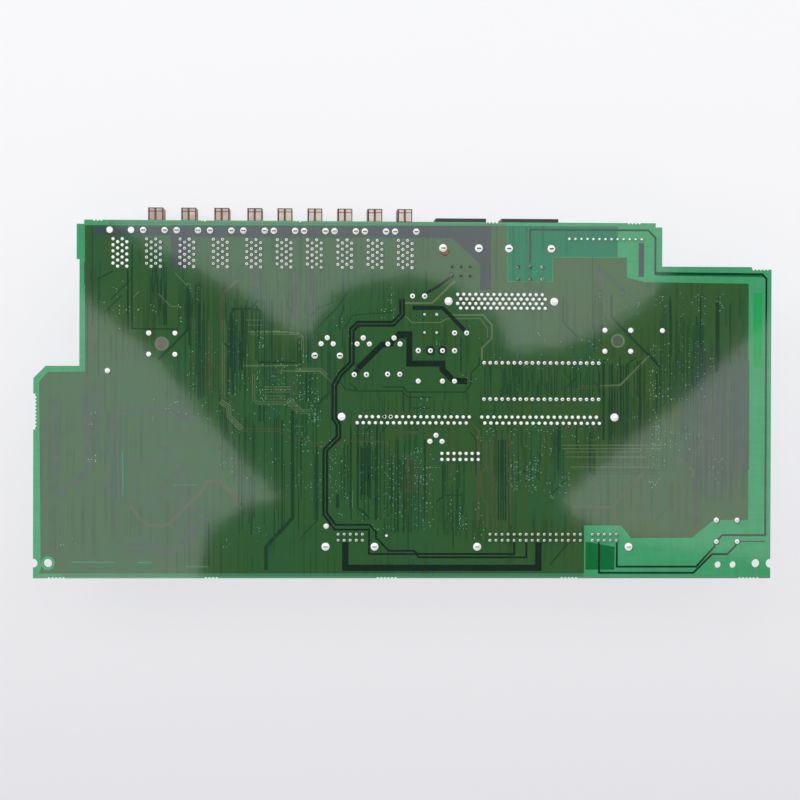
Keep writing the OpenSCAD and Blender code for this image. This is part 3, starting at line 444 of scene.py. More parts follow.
def stamps(profile, middles, scales, heights=1.0, leans=(0.0, 0.0), sides=10):
    """Turned shapes, one at each middle: the profile's radius is carried round the axis, its radius and
    height times the stamp's own, and each ring moves sideways by the lean times its share of the height.
    The profile starts and ends on the axis, so each stamp is closed."""
    profile = np.asarray(profile, float)
    angle = np.linspace(0, 2 * np.pi, sides, endpoint=False)
    ring = profile[1:-1]
    unit = np.stack([ring[:, None, 0] * np.cos(angle), ring[:, None, 0] * np.sin(angle),
                     np.repeat(ring[:, 1:], sides, axis=1)], axis=2).reshape(-1, 3)
    unit = np.vstack([[0, 0, profile[0, 1]], unit, [0, 0, profile[-1, 1]]])
    share = unit[:, 2] / profile[:, 1].max()
    copies = len(middles)
    verts = np.empty((copies, len(unit), 3))
    verts[..., :2] = (unit[None, :, :2] * np.reshape(scales, (-1, 1, 1)) + np.asarray(middles)[:, None]
                      + share[None, :, None] * np.reshape(leans, (-1, 1, 2)))
    verts[..., 2] = TOP + unit[None, :, 2] * np.reshape(heights, (-1, 1))
    index = 1 + np.arange(len(ring) * sides).reshape(len(ring), sides)
    turned = np.roll(index, -1, axis=1)
    quads = np.stack([index[:-1], turned[:-1], turned[1:], index[1:]], axis=2).reshape(-1, 4)
    low = np.column_stack([np.zeros(sides, int), turned[0], index[0]])
    high = np.column_stack([np.full(sides, len(unit) - 1), index[-1], turned[-1]])
    step = np.arange(copies)[:, None, None] * len(unit)
    faces = []
    for block in (quads, low, high):
        faces += (block[None] + step).reshape(-1, block.shape[1]).tolist()
    return verts.reshape(-1, 3), faces


def solids_of(node):
    """Middle and radius of each separate solid of a CAD node. Corners at one place are one corner, and
    the lowest number spreads along the edges until each solid has a single number."""
    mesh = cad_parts[node].data
    co = np.empty(len(mesh.vertices) * 3)
    mesh.vertices.foreach_get("co", co)
    co = co.reshape(-1, 3)
    same = np.unique(np.round(co / SAME_PLACE).astype(int), axis=0, return_inverse=True)[1].ravel()
    edges = np.empty(len(mesh.edges) * 2, np.int32)
    mesh.edges.foreach_get("vertices", edges)
    first, second = same[edges.reshape(-1, 2)].T
    label = np.arange(same.max() + 1)
    while True:
        low = np.minimum(label[first], label[second])
        spread = label.copy()
        np.minimum.at(spread, first, low)
        np.minimum.at(spread, second, low)
        spread = spread[spread]
        if np.array_equal(spread, label):
            break
        label = spread
    solid = np.unique(label[same], return_inverse=True)[1]
    low, high = np.full((solid.max() + 1, 2), np.inf), np.full((solid.max() + 1, 2), -np.inf)
    np.minimum.at(low, solid, co[:, :2])
    np.maximum.at(high, solid, co[:, :2])
    return (low + high) / 2, (high - low)[:, 0] / 2


# ---- places, in millimetres from the board's lower left corner ----

# Spacer rings: radii of the plane's hole, and of the ring outside and inside
RING_SEAT, RING_OUTER, RING_INNER = 2.95, 3.1, 2.72
# Radius of a spacer's boss inside its greenish rim, and how far the leads reach above the board
BOSS_RIM_RADIUS, LEAD_RISE = 2.25, 1.3
# Signal shells: how far their upper face lies below the board, sides of the two windows and upright
# folds from the middle, half length of the cross folds, widths of both, and the heights of the pieces'
# foot, the windows and the folds over that face
SHELL_DROP = 8
WINDOW_SIDES = [(-0.5, -2.45), (0.5, 2.75)]
UPRIGHT_FOLDS, CROSS_FOLD_HALF = (-2.75, -0.12, 2.9), 3.1
UPRIGHT_FOLD_WIDTH, CROSS_FOLD_WIDTH = 0.24, 0.3
SHELL_RISES = (-0.05, 0.29, 0.31)
# Power transistors: how far below the board the resin ends and begins. Cans are bare below their end
RESIN_DROPS, BARE_CAN_END = (15, 6), 0.8

# The plane's outline, with a hollow round the left fixing hole
HOLLOW = arc((6.15, 6.3), 3.0, 175, -150)
PLANE = [(2.4, 81.8), (5.9, 86.0), (21.4, 86.1), (21.2, 147.1), (197.6, 148.0),
         (197.6, 124.4), (216.8, 124.5), (216.8, 134.8), (248.0, 134.9), (248.0, 126.5), (255.7, 124.6),
         (299.6, 124.2), (299.8, 24.6), (285.2, 24.6), (276.0, 17.0), (250.2, 17.0), (245.9, 22.2),
         (230.3, 22.2), (230.4, 2.0), (2.5, 2.0), *HOLLOW[::-1]]
TEAL_AREAS = [
    [(197.8, 147.9), (197.8, 124.6), (216.6, 124.6), (216.6, 135.0), (244.0, 135.1), (244.0, 147.9)],
]
# Laminate with painted shade, where parts on the far side of the board block the light through it
SHADED_LAMINATE_AREAS = [
    [(231.0, 15.4), (230.9, 3.6), (243.2, 3.6), (243.3, 13.2)],
    [(259.9, 129.0), (259.9, 127.4), (306.1, 127.0), (306.1, 128.6)],
]
# Strips of painted shade along the long edges, where parts on the far side block the light through the
# laminate
SHADED_RIM_AREAS = [
    [(31.0, 148.8), (31.0, 147.4), (197.0, 148.1), (197.0, 148.8)],
    [(12.0, 1.9), (12.0, 0.7), (230.0, 0.7), (230.0, 1.9)],
]
CLEAR_AREAS = [
    [(301.8, 120.5), (301.8, 88.8), (305.5, 88.8), (305.5, 120.5)],
]
SCREEN_AREAS = [
    [(56.9, 147.2), (190.7, 147.8), (190.7, 121.0), (186.1, 120.9), (186.1, 131.8), (174.3, 142.6),
     (64.8, 142.3), (64.8, 129.5), (56.9, 129.4)],
    [(25.4, 146.4), (25.4, 143.0), (56.9, 143.0), (56.9, 146.6)],
    [(252.9, 141.1), (252.9, 126.8), (255.2, 126.8), (255.2, 141.1)],
]
# Where inner lines crowd: the middle and the half sizes of an oval
CROWD_MIDDLE, CROWD_HALF = (287.0, 64.0), (19.0, 34.0)

# Lines of each kind: width, and the points of the line. Lines side by side have width, how many and
# their pitch, and the points of the middle one
LINES = {
    "blue": [
        (1.6, (82.6, 108.7), (82.7, 77.8)), (0.8, (259.0, 40.5), (259.0, 24.5)),
        ((0.4, 3, 1.5), (293.9, 92.0), (294.1, 58.3)), ((0.7, 2, 2.0), (101.0, 72.3), (101.0, 66.2)),
        ((0.6, 3, 1.4), (160.6, 34.9), (160.6, 20.5)),
    ],
    "brown": [
        (1.3, (78.6, 108.7), (78.6, 119.1), (84.8, 124.6)),
        ((0.3, 2, 1.05), (73.4, 104.9), (73.5, 79.7), (84.4, 70.9), (84.4, 65.5), (87.1, 62.0),
         (102.5, 62.0), (107.3, 58.3), (114.0, 58.3), (115.9, 56.2), (148.6, 56.3)),
        ((0.3, 2, 1.05), (78.6, 130.8), (78.7, 76.6), (81.2, 73.6), (81.3, 62.8), (82.9, 60.3),
         (82.9, 58.6), (81.5, 56.7), (46.3, 56.6)),
        ((0.35, 2, 0.9), (258.5, 93.6), (245.7, 81.7), (244.0, 80.5), (227.5, 80.4)),
        (1.5, (56.0, 22.2), (69.3, 35.6), (72.2, 40.4), (78.2, 40.4), (83.2, 34.8), (84.7, 29.4)),
        (1.2, (40.2, 30.6), (43.1, 26.4), (47.3, 22.2), (56.0, 22.2)),
        ((0.4, 2, 0.8), (150.6, 61.1), (159.9, 61.1)), (0.5, (185.3, 43.3), (185.4, 21.1)),
        (0.8, (188.9, 58.0), (188.9, 46.7), (186.8, 44.2), (186.8, 34.9), (189.2, 31.6), (189.2, 21.1)),
        ((0.4, 5, 1.5), (194.7, 61.0), (194.9, 21.1)), (0.35, (227.7, 48.0), (255.1, 48.1)),
        (1.3, (255.2, 44.3), (242.1, 30.0), (225.6, 30.0)),
        (1.3, (269.3, 51.1), (276.3, 45.6), (276.3, 42.2)), (0.6, (231.5, 42.2), (237.6, 35.9)),
        (0.35, (105.8, 87.1), (119.2, 87.1), (125.0, 81.3)), (0.35, (96.6, 86.2), (109.1, 86.3)),
        (0.3, (95.8, 79.5), (107.5, 79.6)), (0.3, (95.0, 77.9), (106.7, 77.9)),
        (0.3, (96.6, 76.2), (105.0, 76.2)), (0.35, (92.5, 72.8), (108.3, 72.9), (110.9, 70.4)),
        (0.35, (91.2, 86.2), (91.2, 73.7)),
        (0.35, (115.5, 56.6), (127.6, 56.6), (132.6, 57.5), (146.0, 57.1), (148.6, 55.8)),
        (0.35, (115.9, 55.3), (125.5, 55.4)), (0.4, (149.8, 61.3), (160.3, 61.3)),
        ((0.4, 5, 0.9), (157.8, 50.0), (157.9, 36.2)), ((0.35, 3, 1.1), (280.0, 70.9), (280.1, 51.9)),
        ((0.4, 3, 1.1), (107.9, 84.4), (108.0, 76.5)),
    ],
    "dark": [
        (0.3, (24.3, 145.9), (24.4, 105.1)), (0.3, (22.3, 114.7), (22.4, 84.7)),
        (0.35, (26.9, 125.5), (27.0, 84.7)), (0.6, (40.7, 139.3), (40.8, 104.1), (59.9, 104.0)),
        (0.5, (38.9, 129.3), (38.9, 109.8)), (0.3, (36.8, 118.1), (31.3, 113.0), (31.3, 109.7)),
        (0.6, (32.9, 128.0), (26.5, 124.7)), ((0.35, 3, 1.9), (51.1, 129.4), (51.2, 119.0)),
        (0.3, (51.6, 115.6), (51.6, 109.8), (49.5, 107.1)), (0.4, (55.1, 112.7), (55.1, 107.1)),
        (0.9, (63.8, 122.4), (63.9, 103.6), (51.6, 91.1)), (0.5, (68.3, 116.2), (68.4, 74.4)),
        (0.3, (70.9, 107.8), (71.0, 87.0)), (0.8, (81.9, 112.5), (90.7, 112.7)),
        (0.5, (90.7, 112.9), (93.2, 116.3), (93.1, 129.6)),
        (0.5, (90.7, 112.5), (94.0, 112.1), (94.1, 102.9)), (1.1, (82.2, 110.0), (82.2, 92.4)),
        (0.9, (86.5, 112.1), (86.6, 87.0)), (0.6, (93.3, 90.2), (110.8, 90.2)),
        (0.5, (114.1, 90.5), (114.1, 108.9), (118.2, 113.1), (124.1, 115.2), (124.1, 120.6)),
        (0.5, (116.6, 103.0), (121.2, 108.1), (126.2, 113.1), (130.3, 119.4)),
        (0.4, (128.5, 96.4), (128.5, 103.9), (132.9, 110.2), (150.5, 111.5)),
        (0.5, (131.7, 81.8), (135.1, 78.4), (153.9, 78.5)),
        (0.5, (145.1, 80.1), (153.9, 80.2), (155.6, 78.1), (180.0, 78.1), (182.5, 81.9), (182.4, 86.1),
         (185.8, 89.5), (185.8, 92.8)),
        (0.5, (178.2, 101.0), (178.2, 86.5)), (0.7, (221.1, 118.2), (221.1, 107.7), (227.2, 101.4)),
        (0.35, (233.4, 135.1), (233.6, 104.4)), (0.3, (234.6, 117.0), (234.6, 95.1)),
        (0.9, (241.5, 119.1), (241.6, 109.9), (243.9, 107.4), (262.2, 88.9)),
        (0.4, (245.2, 93.9), (245.3, 82.6)), (0.5, (252.4, 93.1), (247.8, 89.7), (247.8, 82.2)),
        (0.4, (266.7, 116.3), (266.8, 92.8)), (0.6, (279.2, 118.5), (279.3, 82.7)),
        (1.7, (286.4, 116.4), (286.5, 86.9)), (0.4, (291.7, 115.2), (291.8, 89.9)),
        (0.5, (253.7, 91.9), (253.8, 75.0)), (0.6, (238.0, 89.7), (238.1, 77.1)),
        ((0.4, 2, 1.2), (85.9, 51.5), (85.9, 30.6)), (0.5, (91.7, 64.1), (91.8, 25.2)),
        (0.5, (73.0, 23.5), (73.1, 4.7)), (1.5, (107.7, 69.5), (107.9, 25.2), (96.8, 13.1), (96.9, 3.5)),
        (0.4, (118.0, 55.4), (118.1, 23.6)), ((0.4, 2, 1.6), (130.1, 55.8), (130.2, 34.9)),
        (0.4, (135.0, 53.7), (135.0, 29.4), (140.3, 25.2)), ((0.6, 4, 1.1), (138.5, 54.6), (138.6, 34.9)),
        (0.4, (142.3, 54.6), (142.4, 32.0)), (1.4, (126.6, 35.3), (126.7, 29.8)),
        (0.4, (168.1, 32.2), (171.7, 34.9), (178.9, 34.9)), (0.35, (171.7, 47.5), (171.7, 35.8)),
        (0.35, (175.1, 26.5), (175.2, 12.7)), (0.35, (156.2, 26.5), (156.3, 11.0)),
        ((0.5, 4, 1.0), (195.6, 58.1), (195.7, 24.5)), (0.8, (232.7, 61.5), (232.7, 44.7)),
        (0.5, (217.2, 35.8), (223.5, 42.6)), (0.6, (216.0, 5.6), (223.6, 14.8)),
        (0.4, (153.9, 78.5), (154.0, 71.4)), (0.4, (156.9, 78.1), (156.9, 71.4), (165.3, 71.4)),
        (0.8, (266.3, 118.8), (266.5, 74.2)), (1.0, (238.3, 91.8), (238.4, 58.2)),
        (0.7, (253.7, 89.8), (253.8, 58.2)), (0.5, (247.8, 89.7), (247.9, 58.2)),
        (0.5, (277.5, 110.5), (277.6, 81.8)), (0.9, (260.7, 87.7), (260.8, 69.2)),
        (0.5, (269.3, 94.4), (269.4, 81.0)), (0.5, (275.7, 91.1), (275.7, 81.8)),
        (0.8, (257.1, 94.8), (262.2, 89.4), (262.2, 76.7)), (0.5, (39.1, 127.7), (39.2, 103.5)),
        (0.4, (48.6, 126.1), (48.7, 112.7)), (0.4, (51.6, 126.1), (51.6, 109.4)),
        (0.35, (93.2, 103.8), (93.3, 90.4)), (0.5, (136.4, 55.8), (136.5, 32.8)),
        (0.5, (139.1, 55.8), (139.2, 34.5)), (0.45, (140.4, 57.9), (140.5, 32.8)),
        (0.4, (149.4, 51.7), (149.5, 32.8), (147.0, 29.9)), (0.35, (170.8, 51.3), (170.9, 32.8)),
        (0.35, (177.1, 45.4), (177.2, 27.8)), (0.35, (178.8, 36.2), (178.9, 25.3)),
        (0.35, (134.8, 30.7), (139.4, 26.1)), (0.9, (126.4, 35.3), (126.5, 29.4)),
        (0.35, (117.7, 32.8), (117.7, 23.6), (112.7, 18.5), (111.0, 16.0)),
        (0.4, (182.1, 61.4), (184.7, 58.0), (184.7, 42.9)),
        (0.35, (31.7, 116.0), (35.8, 120.1), (40.8, 125.2)),
        (0.35, (29.6, 105.5), (29.6, 111.0), (32.5, 113.9), (36.6, 117.7)),
        (0.5, (70.7, 116.2), (70.8, 76.1)), (0.4, (72.0, 112.0), (72.1, 76.1)),
        (0.5, (103.2, 116.3), (103.2, 105.9)), (0.5, (295.1, 15.5), (307.0, 15.6)),
        (0.45, (127.5, 82.4), (129.7, 79.2), (135.5, 78.4), (153.5, 78.5), (156.0, 76.0), (166.1, 75.8)),
        (0.45, (154.1, 78.5), (154.2, 69.7)), (0.9, (108.0, 71.7), (108.0, 62.3)),
        ((0.7, 2, 1.6), (95.0, 72.3), (95.0, 65.6)), (0.8, (93.2, 90.2), (105.8, 90.3)),
        ((0.5, 2, 1.4), (114.3, 86.2), (114.3, 74.1)), ((0.4, 2, 1.2), (110.3, 100.1), (110.3, 89.9)),
        ((0.35, 2, 1.1), (139.0, 57.8), (139.0, 40.6)),
        (0.4, (146.3, 17.6), (146.3, 24.8), (149.1, 27.7), (149.1, 44.2)),
    ],
    "grey": [
        (1.5, (236.6, 130.5), (236.6, 122.5)), (0.8, (237.9, 128.8), (248.1, 120.0)),
        (1.0, (33.0, 64.9), (37.2, 70.2), (57.5, 70.2), (60.9, 67.3), (69.6, 67.3)),
        (1.3, (10.1, 33.4), (21.9, 44.3), (21.8, 76.4)), (0.5, (8.2, 55.5), (19.4, 64.7)),
        (0.9, (51.5, 11.2), (58.9, 11.2), (74.3, 27.7)), (0.6, (49.8, 11.8), (51.4, 16.8), (56.0, 22.2)),
        (0.6, (83.0, 28.5), (90.1, 33.6)), (0.4, (39.3, 48.1), (58.0, 48.1)),
        (0.4, (34.0, 31.0), (49.7, 31.0)), (0.4, (47.2, 28.1), (74.7, 28.1)),
        (0.4, (36.8, 36.4), (65.1, 36.4)), ((0.5, 3, 2.1), (36.1, 13.3), (49.8, 13.3)),
        (0.5, (51.4, 31.8), (63.0, 47.3)), (0.5, (52.6, 38.1), (60.9, 46.5)),
        (0.5, (51.3, 56.4), (68.0, 41.9)), (0.4, (267.5, 31.3), (261.0, 24.5)),
        ((0.5, 3, 1.2), (115.7, 132.3), (115.7, 108.9)), ((0.8, 2, 2.0), (92.3, 132.1), (92.4, 116.3)),
        ((0.5, 2, 1.2), (109.0, 128.9), (109.1, 108.0)), ((0.4, 6, 1.3), (284.3, 73.0), (284.4, 45.6)),
        ((0.4, 5, 1.1), (275.0, 66.7), (275.0, 47.7)), ((0.4, 4, 1.3), (297.8, 92.0), (298.0, 45.7)),
        ((0.5, 3, 1.6), (9.0, 75.1), (9.1, 45.1)), ((0.4, 4, 1.4), (32.6, 70.2), (32.7, 32.6)),
        ((0.6, 2, 3.0), (25.5, 82.6), (25.6, 51.4)), ((0.4, 3, 1.3), (60.9, 45.2), (61.0, 11.8)),
    ],
    "heavy": [
        (2.3, (145.1, 98.0), (148.4, 98.1), (151.5, 101.6), (154.7, 101.6)),
        (2.2, (135.0, 87.4), (133.6, 85.5)), (0.7, (236.6, 13.4), (236.6, 15.5)),
        (0.7, (244.2, 13.4), (244.2, 15.5)), (0.7, (285.3, 13.1), (286.3, 14.9)),
        (0.7, (294.2, 13.3), (295.1, 14.9)),
    ],
    "pale": [
        (0.3, (89.0, 105.8), (95.3, 105.8)), (0.3, (89.1, 103.0), (105.7, 103.1)),
        (0.3, (87.0, 88.7), (105.8, 88.8)), (0.35, (43.7, 119.6), (41.4, 117.1)),
        (0.3, (51.4, 119.0), (57.0, 113.4), (61.3, 113.4)), (0.3, (58.6, 127.4), (64.0, 121.8)),
        (0.7, (172.3, 110.4), (187.4, 110.5), (191.2, 106.3), (191.2, 100.8), (187.0, 96.6), (187.0, 91.6)),
        (0.8, (154.6, 115.3), (166.0, 115.4), (175.6, 124.7)),
        (0.4, (153.4, 111.1), (157.6, 107.2), (169.3, 107.2), (172.3, 108.9), (186.1, 109.0),
         (189.3, 105.0), (189.3, 100.8)),
        (0.35, (102.5, 86.7), (119.2, 86.7), (126.3, 80.1)), ((0.3, 2, 1.5), (220.9, 55.2), (263.6, 55.3)),
        (0.6, (257.5, 93.6), (245.3, 81.3), (236.8, 80.9)), (0.35, (88.2, 107.9), (94.9, 107.9)),
        (0.35, (105.7, 102.1), (110.8, 102.2), (112.4, 100.5)), (0.3, (132.9, 37.0), (132.9, 29.4)),
        (0.3, (222.6, 53.1), (258.9, 53.2)), (0.3, (222.6, 51.0), (256.4, 51.0)),
        (0.3, (224.3, 46.8), (258.1, 46.8)), (0.35, (90.7, 103.3), (102.4, 103.4)),
        ((0.35, 3, 0.8), (77.5, 74.0), (81.1, 71.6), (81.2, 67.7), (86.6, 62.3)),
        ((0.25, 2, 0.9), (91.4, 85.3), (91.5, 75.0), (93.3, 73.3), (105.5, 73.3)),
        ((0.25, 3, 1.1), (95.9, 78.9), (106.7, 79.0)), ((0.25, 2, 1.2), (95.6, 75.6), (104.9, 75.6)),
        ((0.22, 5, 0.65), (105.7, 74.8), (110.6, 69.8)), ((0.22, 3, 0.8), (110.6, 69.8), (115.2, 69.8)),
        ((0.25, 3, 0.7), (108.8, 87.1), (119.1, 87.2), (122.1, 84.8)),
        ((0.25, 2, 0.8), (89.8, 102.4), (109.7, 102.4), (111.8, 100.2), (111.8, 89.9)),
        (0.22, (86.5, 89.0), (111.2, 89.1)), ((0.22, 2, 1.0), (78.9, 107.9), (79.0, 75.2)),
    ],
    "soft": [
        (3.2, (279.2, 108.0), (279.3, 81.9)), (1.0, (88.6, 116.3), (88.7, 97.5)),
        ((0.6, 3, 1.4), (115.8, 86.3), (115.9, 66.2)), (1.2, (137.7, 54.6), (137.7, 35.3)),
        ((0.5, 2, 1.3), (128.9, 51.6), (129.0, 32.8)), ((0.6, 2, 1.5), (117.6, 51.6), (117.7, 24.4)),
        ((1.6, 3, 2.6), (155.3, 49.6), (155.3, 37.0)), ((0.5, 3, 1.2), (196.9, 55.5), (196.9, 32.9)),
        (1.0, (219.2, 62.3), (219.2, 45.5)), ((0.5, 2, 1.4), (232.7, 44.7), (262.3, 44.7)),
        (0.5, (27.5, 115.9), (27.5, 131.8)), ((0.8, 2, 2.2), (64.0, 120.3), (64.2, 74.4)),
        (0.7, (69.0, 116.2), (69.2, 75.3)), ((0.4, 3, 1.0), (75.7, 124.5), (75.8, 77.8)),
        (1.2, (123.3, 94.7), (123.4, 78.0), (118.4, 72.9), (118.4, 69.6)),
        (0.8, (163.4, 129.2), (163.4, 120.8), (160.1, 117.5)),
        (1.1, (128.6, 132.3), (128.7, 111.4), (127.4, 109.8), (127.5, 103.9)),
        ((0.8, 2, 1.7), (83.4, 106.7), (83.5, 79.5)), ((0.5, 4, 1.5), (149.8, 38.5), (149.9, 19.1)),
    ],
    "teal": [
        (0.4, (57.6, 38.9), (68.4, 39.0)), (0.6, (16.0, 6.8), (34.0, 6.6)), (0.6, (43.2, 6.6), (49.4, 6.6)),
        (0.6, (63.1, 4.9), (73.5, 4.9)), (0.5, (37.0, 52.7), (37.1, 34.7)),
    ],
}

# Fields of upright lines: kind, left, right, low, high, how many, width
FIELDS = [
    ("dark", 48.3, 55.7, 105.6, 130.3, 8, 0.32),
    ("dark", 62.4, 69.0, 97.4, 122.4, 6, 0.36), ("dark", 67.5, 71.5, 75.3, 122.4, 6, 0.36),
    ("brown", 71.6, 74.9, 76.5, 105.8, 4, 0.30), ("brown", 77.1, 79.8, 77.8, 120.4, 3, 0.34),
    ("dark", 80.8, 84.0, 76.6, 114.1, 6, 0.55), ("dark", 85.0, 89.0, 78.7, 114.2, 5, 0.42),
    ("dark", 92.4, 94.9, 91.2, 114.2, 3, 0.50), ("soft", 52.5, 62.4, 74.4, 95.3, 6, 0.36),
    ("dark", 95.0, 100.3, 74.5, 116.3, 5, 0.30), ("grey", 21.4, 27.9, 84.3, 130.5, 5, 0.30),
    ("soft", 103.7, 124.0, 101.7, 132.3, 22, 0.26), ("soft", 90.7, 103.6, 103.7, 132.2, 9, 0.30),
    ("soft", 129.1, 163.0, 116.5, 131.3, 22, 0.26), ("soft", 75.7, 89.8, 116.2, 132.1, 8, 0.30),
    ("dark", 103.7, 110.7, 103.8, 120.5, 6, 0.30), ("dark", 110.8, 119.9, 97.6, 116.4, 5, 0.26),
    ("dark", 74.2, 82.5, 45.2, 76.6, 6, 0.34), ("dark", 82.6, 110.9, 18.1, 66.2, 18, 0.34),
    ("soft", 82.5, 127.5, 57.8, 103.9, 22, 0.30), ("dark", 111.0, 118.4, 32.7, 66.2, 6, 0.30),
    ("dark", 131.1, 146.9, 24.4, 64.2, 16, 0.40), ("soft", 131.0, 146.8, 57.9, 78.9, 10, 0.30),
    ("dark", 146.6, 165.3, 19.4, 58.0, 16, 0.30), ("brown", 152.0, 162.8, 36.2, 51.7, 8, 0.42),
    ("soft", 165.5, 187.2, 18.1, 48.8, 9, 0.32), ("dark", 170.5, 180.5, 20.2, 47.5, 5, 0.26),
    ("brown", 184.4, 187.6, 24.5, 62.2, 3, 0.50), ("brown", 189.8, 201.5, 22.4, 58.1, 8, 0.50),
    ("dark", 188.1, 220.0, 40.4, 62.3, 14, 0.26), ("soft", 187.9, 237.6, 75.7, 89.3, 40, 0.46),
    ("dark", 187.9, 237.6, 75.7, 89.3, 30, 0.36), ("blue", 188.7, 239.2, 91.6, 112.0, 22, 0.26),
    ("dark", 237.0, 257.9, 45.5, 89.8, 15, 0.40), ("soft", 238.7, 260.1, 41.3, 83.5, 14, 0.30),
    ("soft", 260.2, 279.0, 58.2, 106.7, 12, 0.50), ("soft", 258.1, 279.0, 58.2, 108.8, 14, 0.40),
    ("grey", 275.1, 299.4, 41.4, 98.4, 42, 0.26), ("brown", 275.1, 299.5, 45.6, 87.8, 10, 0.24),
    ("grey", 269.2, 281.0, 21.2, 42.3, 12, 0.30), ("dark", 218.0, 236.9, 43.0, 64.0, 12, 0.28),
    ("soft", 237.0, 274.9, 45.5, 75.9, 26, 0.26), ("grey", 21.1, 27.6, 45.1, 80.6, 7, 0.28),
    ("blue", 32.7, 40.1, 32.6, 68.1, 5, 0.60), ("grey", 44.3, 71.2, 57.7, 74.4, 12, 0.22),
    ("grey", 3.7, 11.9, 32.6, 61.8, 5, 0.30), ("grey", 52.7, 75.5, 7.6, 41.1, 10, 0.26),
    ("grey", 11.2, 52.6, 7.6, 45.2, 14, 0.24), ("soft", 165.3, 184.0, 74.7, 108.4, 5, 0.24),
    ("soft", 127.5, 163.0, 103.9, 116.6, 6, 0.24),
    ("soft", 289.2, 298.1, 96.2, 117.3, 4, 0.30),
    ("dark", 235.1, 238.3, 98.1, 121.2, 2, 0.26),
]

# Fields of plated dots: left, right, low, high, how many
DOT_FIELDS = [
    (27.6, 42.0, 103.5, 124.3, 22), (35.8, 44.1, 110.6, 113.5, 14), (48.3, 51.2, 110.6, 113.6, 6),
    (58.7, 62.4, 105.3, 113.6, 8), (63.2, 65.3, 117.8, 122.8, 14), (67.0, 69.9, 116.1, 121.2, 9),
    (63.3, 70.3, 75.3, 103.6, 24), (71.2, 80.7, 75.3, 103.7, 16), (81.6, 84.5, 76.6, 107.9, 34),
    (85.0, 89.1, 76.6, 99.6, 14), (92.4, 96.6, 94.6, 105.9, 18), (92.5, 107.4, 73.7, 91.3, 70),
    (107.5, 119.2, 74.6, 86.3, 46), (109.1, 113.3, 86.3, 99.7, 12), (123.3, 128.3, 103.9, 116.5, 8),
    (147.5, 150.0, 109.0, 123.3, 16), (144.2, 146.7, 108.2, 116.6, 6), (21.0, 26.0, 63.5, 68.9, 14),
    (22.3, 25.6, 48.0, 51.8, 12), (11.2, 17.4, 12.6, 18.0, 6), (48.4, 85.8, 66.0, 76.2, 30),
    (75.1, 100.8, 40.2, 70.4, 44), (91.0, 96.8, 15.2, 21.9, 10), (76.8, 81.8, 11.0, 16.0, 5),
    (103.8, 120.0, 62.0, 76.3, 46), (115.5, 119.2, 65.4, 70.8, 40), (103.9, 115.9, 32.7, 66.2, 50),
    (116.8, 125.9, 31.9, 57.9, 52), (123.5, 132.6, 23.6, 57.9, 36), (134.4, 144.4, 18.1, 47.5, 40),
    (146.2, 148.6, 19.4, 55.4, 34), (148.7, 166.2, 20.2, 51.7, 150), (156.2, 166.2, 39.5, 43.7, 34),
    (170.5, 181.3, 19.4, 45.4, 30), (175.5, 180.6, 20.2, 29.5, 30), (157.8, 161.1, 51.3, 54.6, 10),
    (196.9, 213.7, 36.2, 64.8, 56), (199.5, 202.8, 36.2, 51.8, 44), (205.8, 210.4, 36.2, 50.5, 52),
    (182.3, 188.1, 13.5, 34.5, 18), (184.7, 193.0, 55.9, 63.1, 12), (203.2, 237.7, 57.2, 66.6, 46),
    (213.7, 218.4, 51.4, 54.7, 8), (214.2, 217.6, 32.9, 43.4, 12), (219.7, 223.9, 34.6, 44.7, 16),
    (248.7, 252.9, 64.9, 69.1, 10), (257.2, 284.3, 54.0, 65.0, 84), (258.1, 261.4, 39.3, 77.2, 40),
    (257.3, 264.0, 46.4, 51.9, 20), (252.2, 254.7, 51.5, 54.8, 8), (282.7, 288.6, 39.7, 50.7, 18),
    (258.1, 261.5, 38.0, 40.5, 8), (218.2, 243.5, 89.2, 100.2, 26), (235.9, 239.2, 104.4, 123.3, 6),
    (245.6, 247.6, 109.5, 121.3, 8), (251.9, 254.0, 109.5, 117.1, 8), (259.5, 265.4, 111.2, 118.8, 16),
    (269.7, 272.2, 97.8, 121.4, 14), (274.8, 281.5, 104.6, 121.5, 22), (284.5, 288.3, 112.2, 119.8, 12),
    (274.8, 280.8, 93.6, 99.6, 18), (257.1, 265.5, 75.0, 98.6, 66), (264.8, 275.7, 74.2, 91.9, 50),
    (277.0, 281.6, 74.3, 92.8, 34), (282.5, 285.9, 86.9, 93.7, 8), (209.8, 213.1, 88.3, 103.5, 10),
    (190.4, 207.2, 89.1, 95.9, 10), (194.7, 203.1, 74.8, 81.2, 10), (203.1, 236.8, 86.6, 91.8, 20),
    (129.2, 132.5, 97.6, 103.9, 5), (122.5, 127.5, 80.5, 87.2, 10), (161.1, 163.6, 68.9, 76.4, 12),
    (166.9, 169.4, 97.4, 99.9, 4), (169.4, 186.1, 99.9, 108.4, 10), (177.8, 184.6, 81.5, 84.9, 10),
    (110.9, 115.9, 55.3, 63.7, 12), (138.5, 146.0, 45.4, 62.1, 18),
]
# Straight rows of dots: first point, step, how many
DOT_ROWS = [
    ((155.2, 46.4), (1.27, 0), 12), ((133.6, 60.6), (1.9, 0), 5), ((106.2, 78.0), (0, -1.5), 5),
    ((259.0, 60.5), (0, -1.9), 6), ((274.5, 103.2), (0, -2.4), 7), ((93.4, 76.2), (1.1, -0.9), 9),
    ((99.5, 84.6), (1.2, 0.9), 8), ((104.5, 72.5), (1.2, 0.7), 8),
]

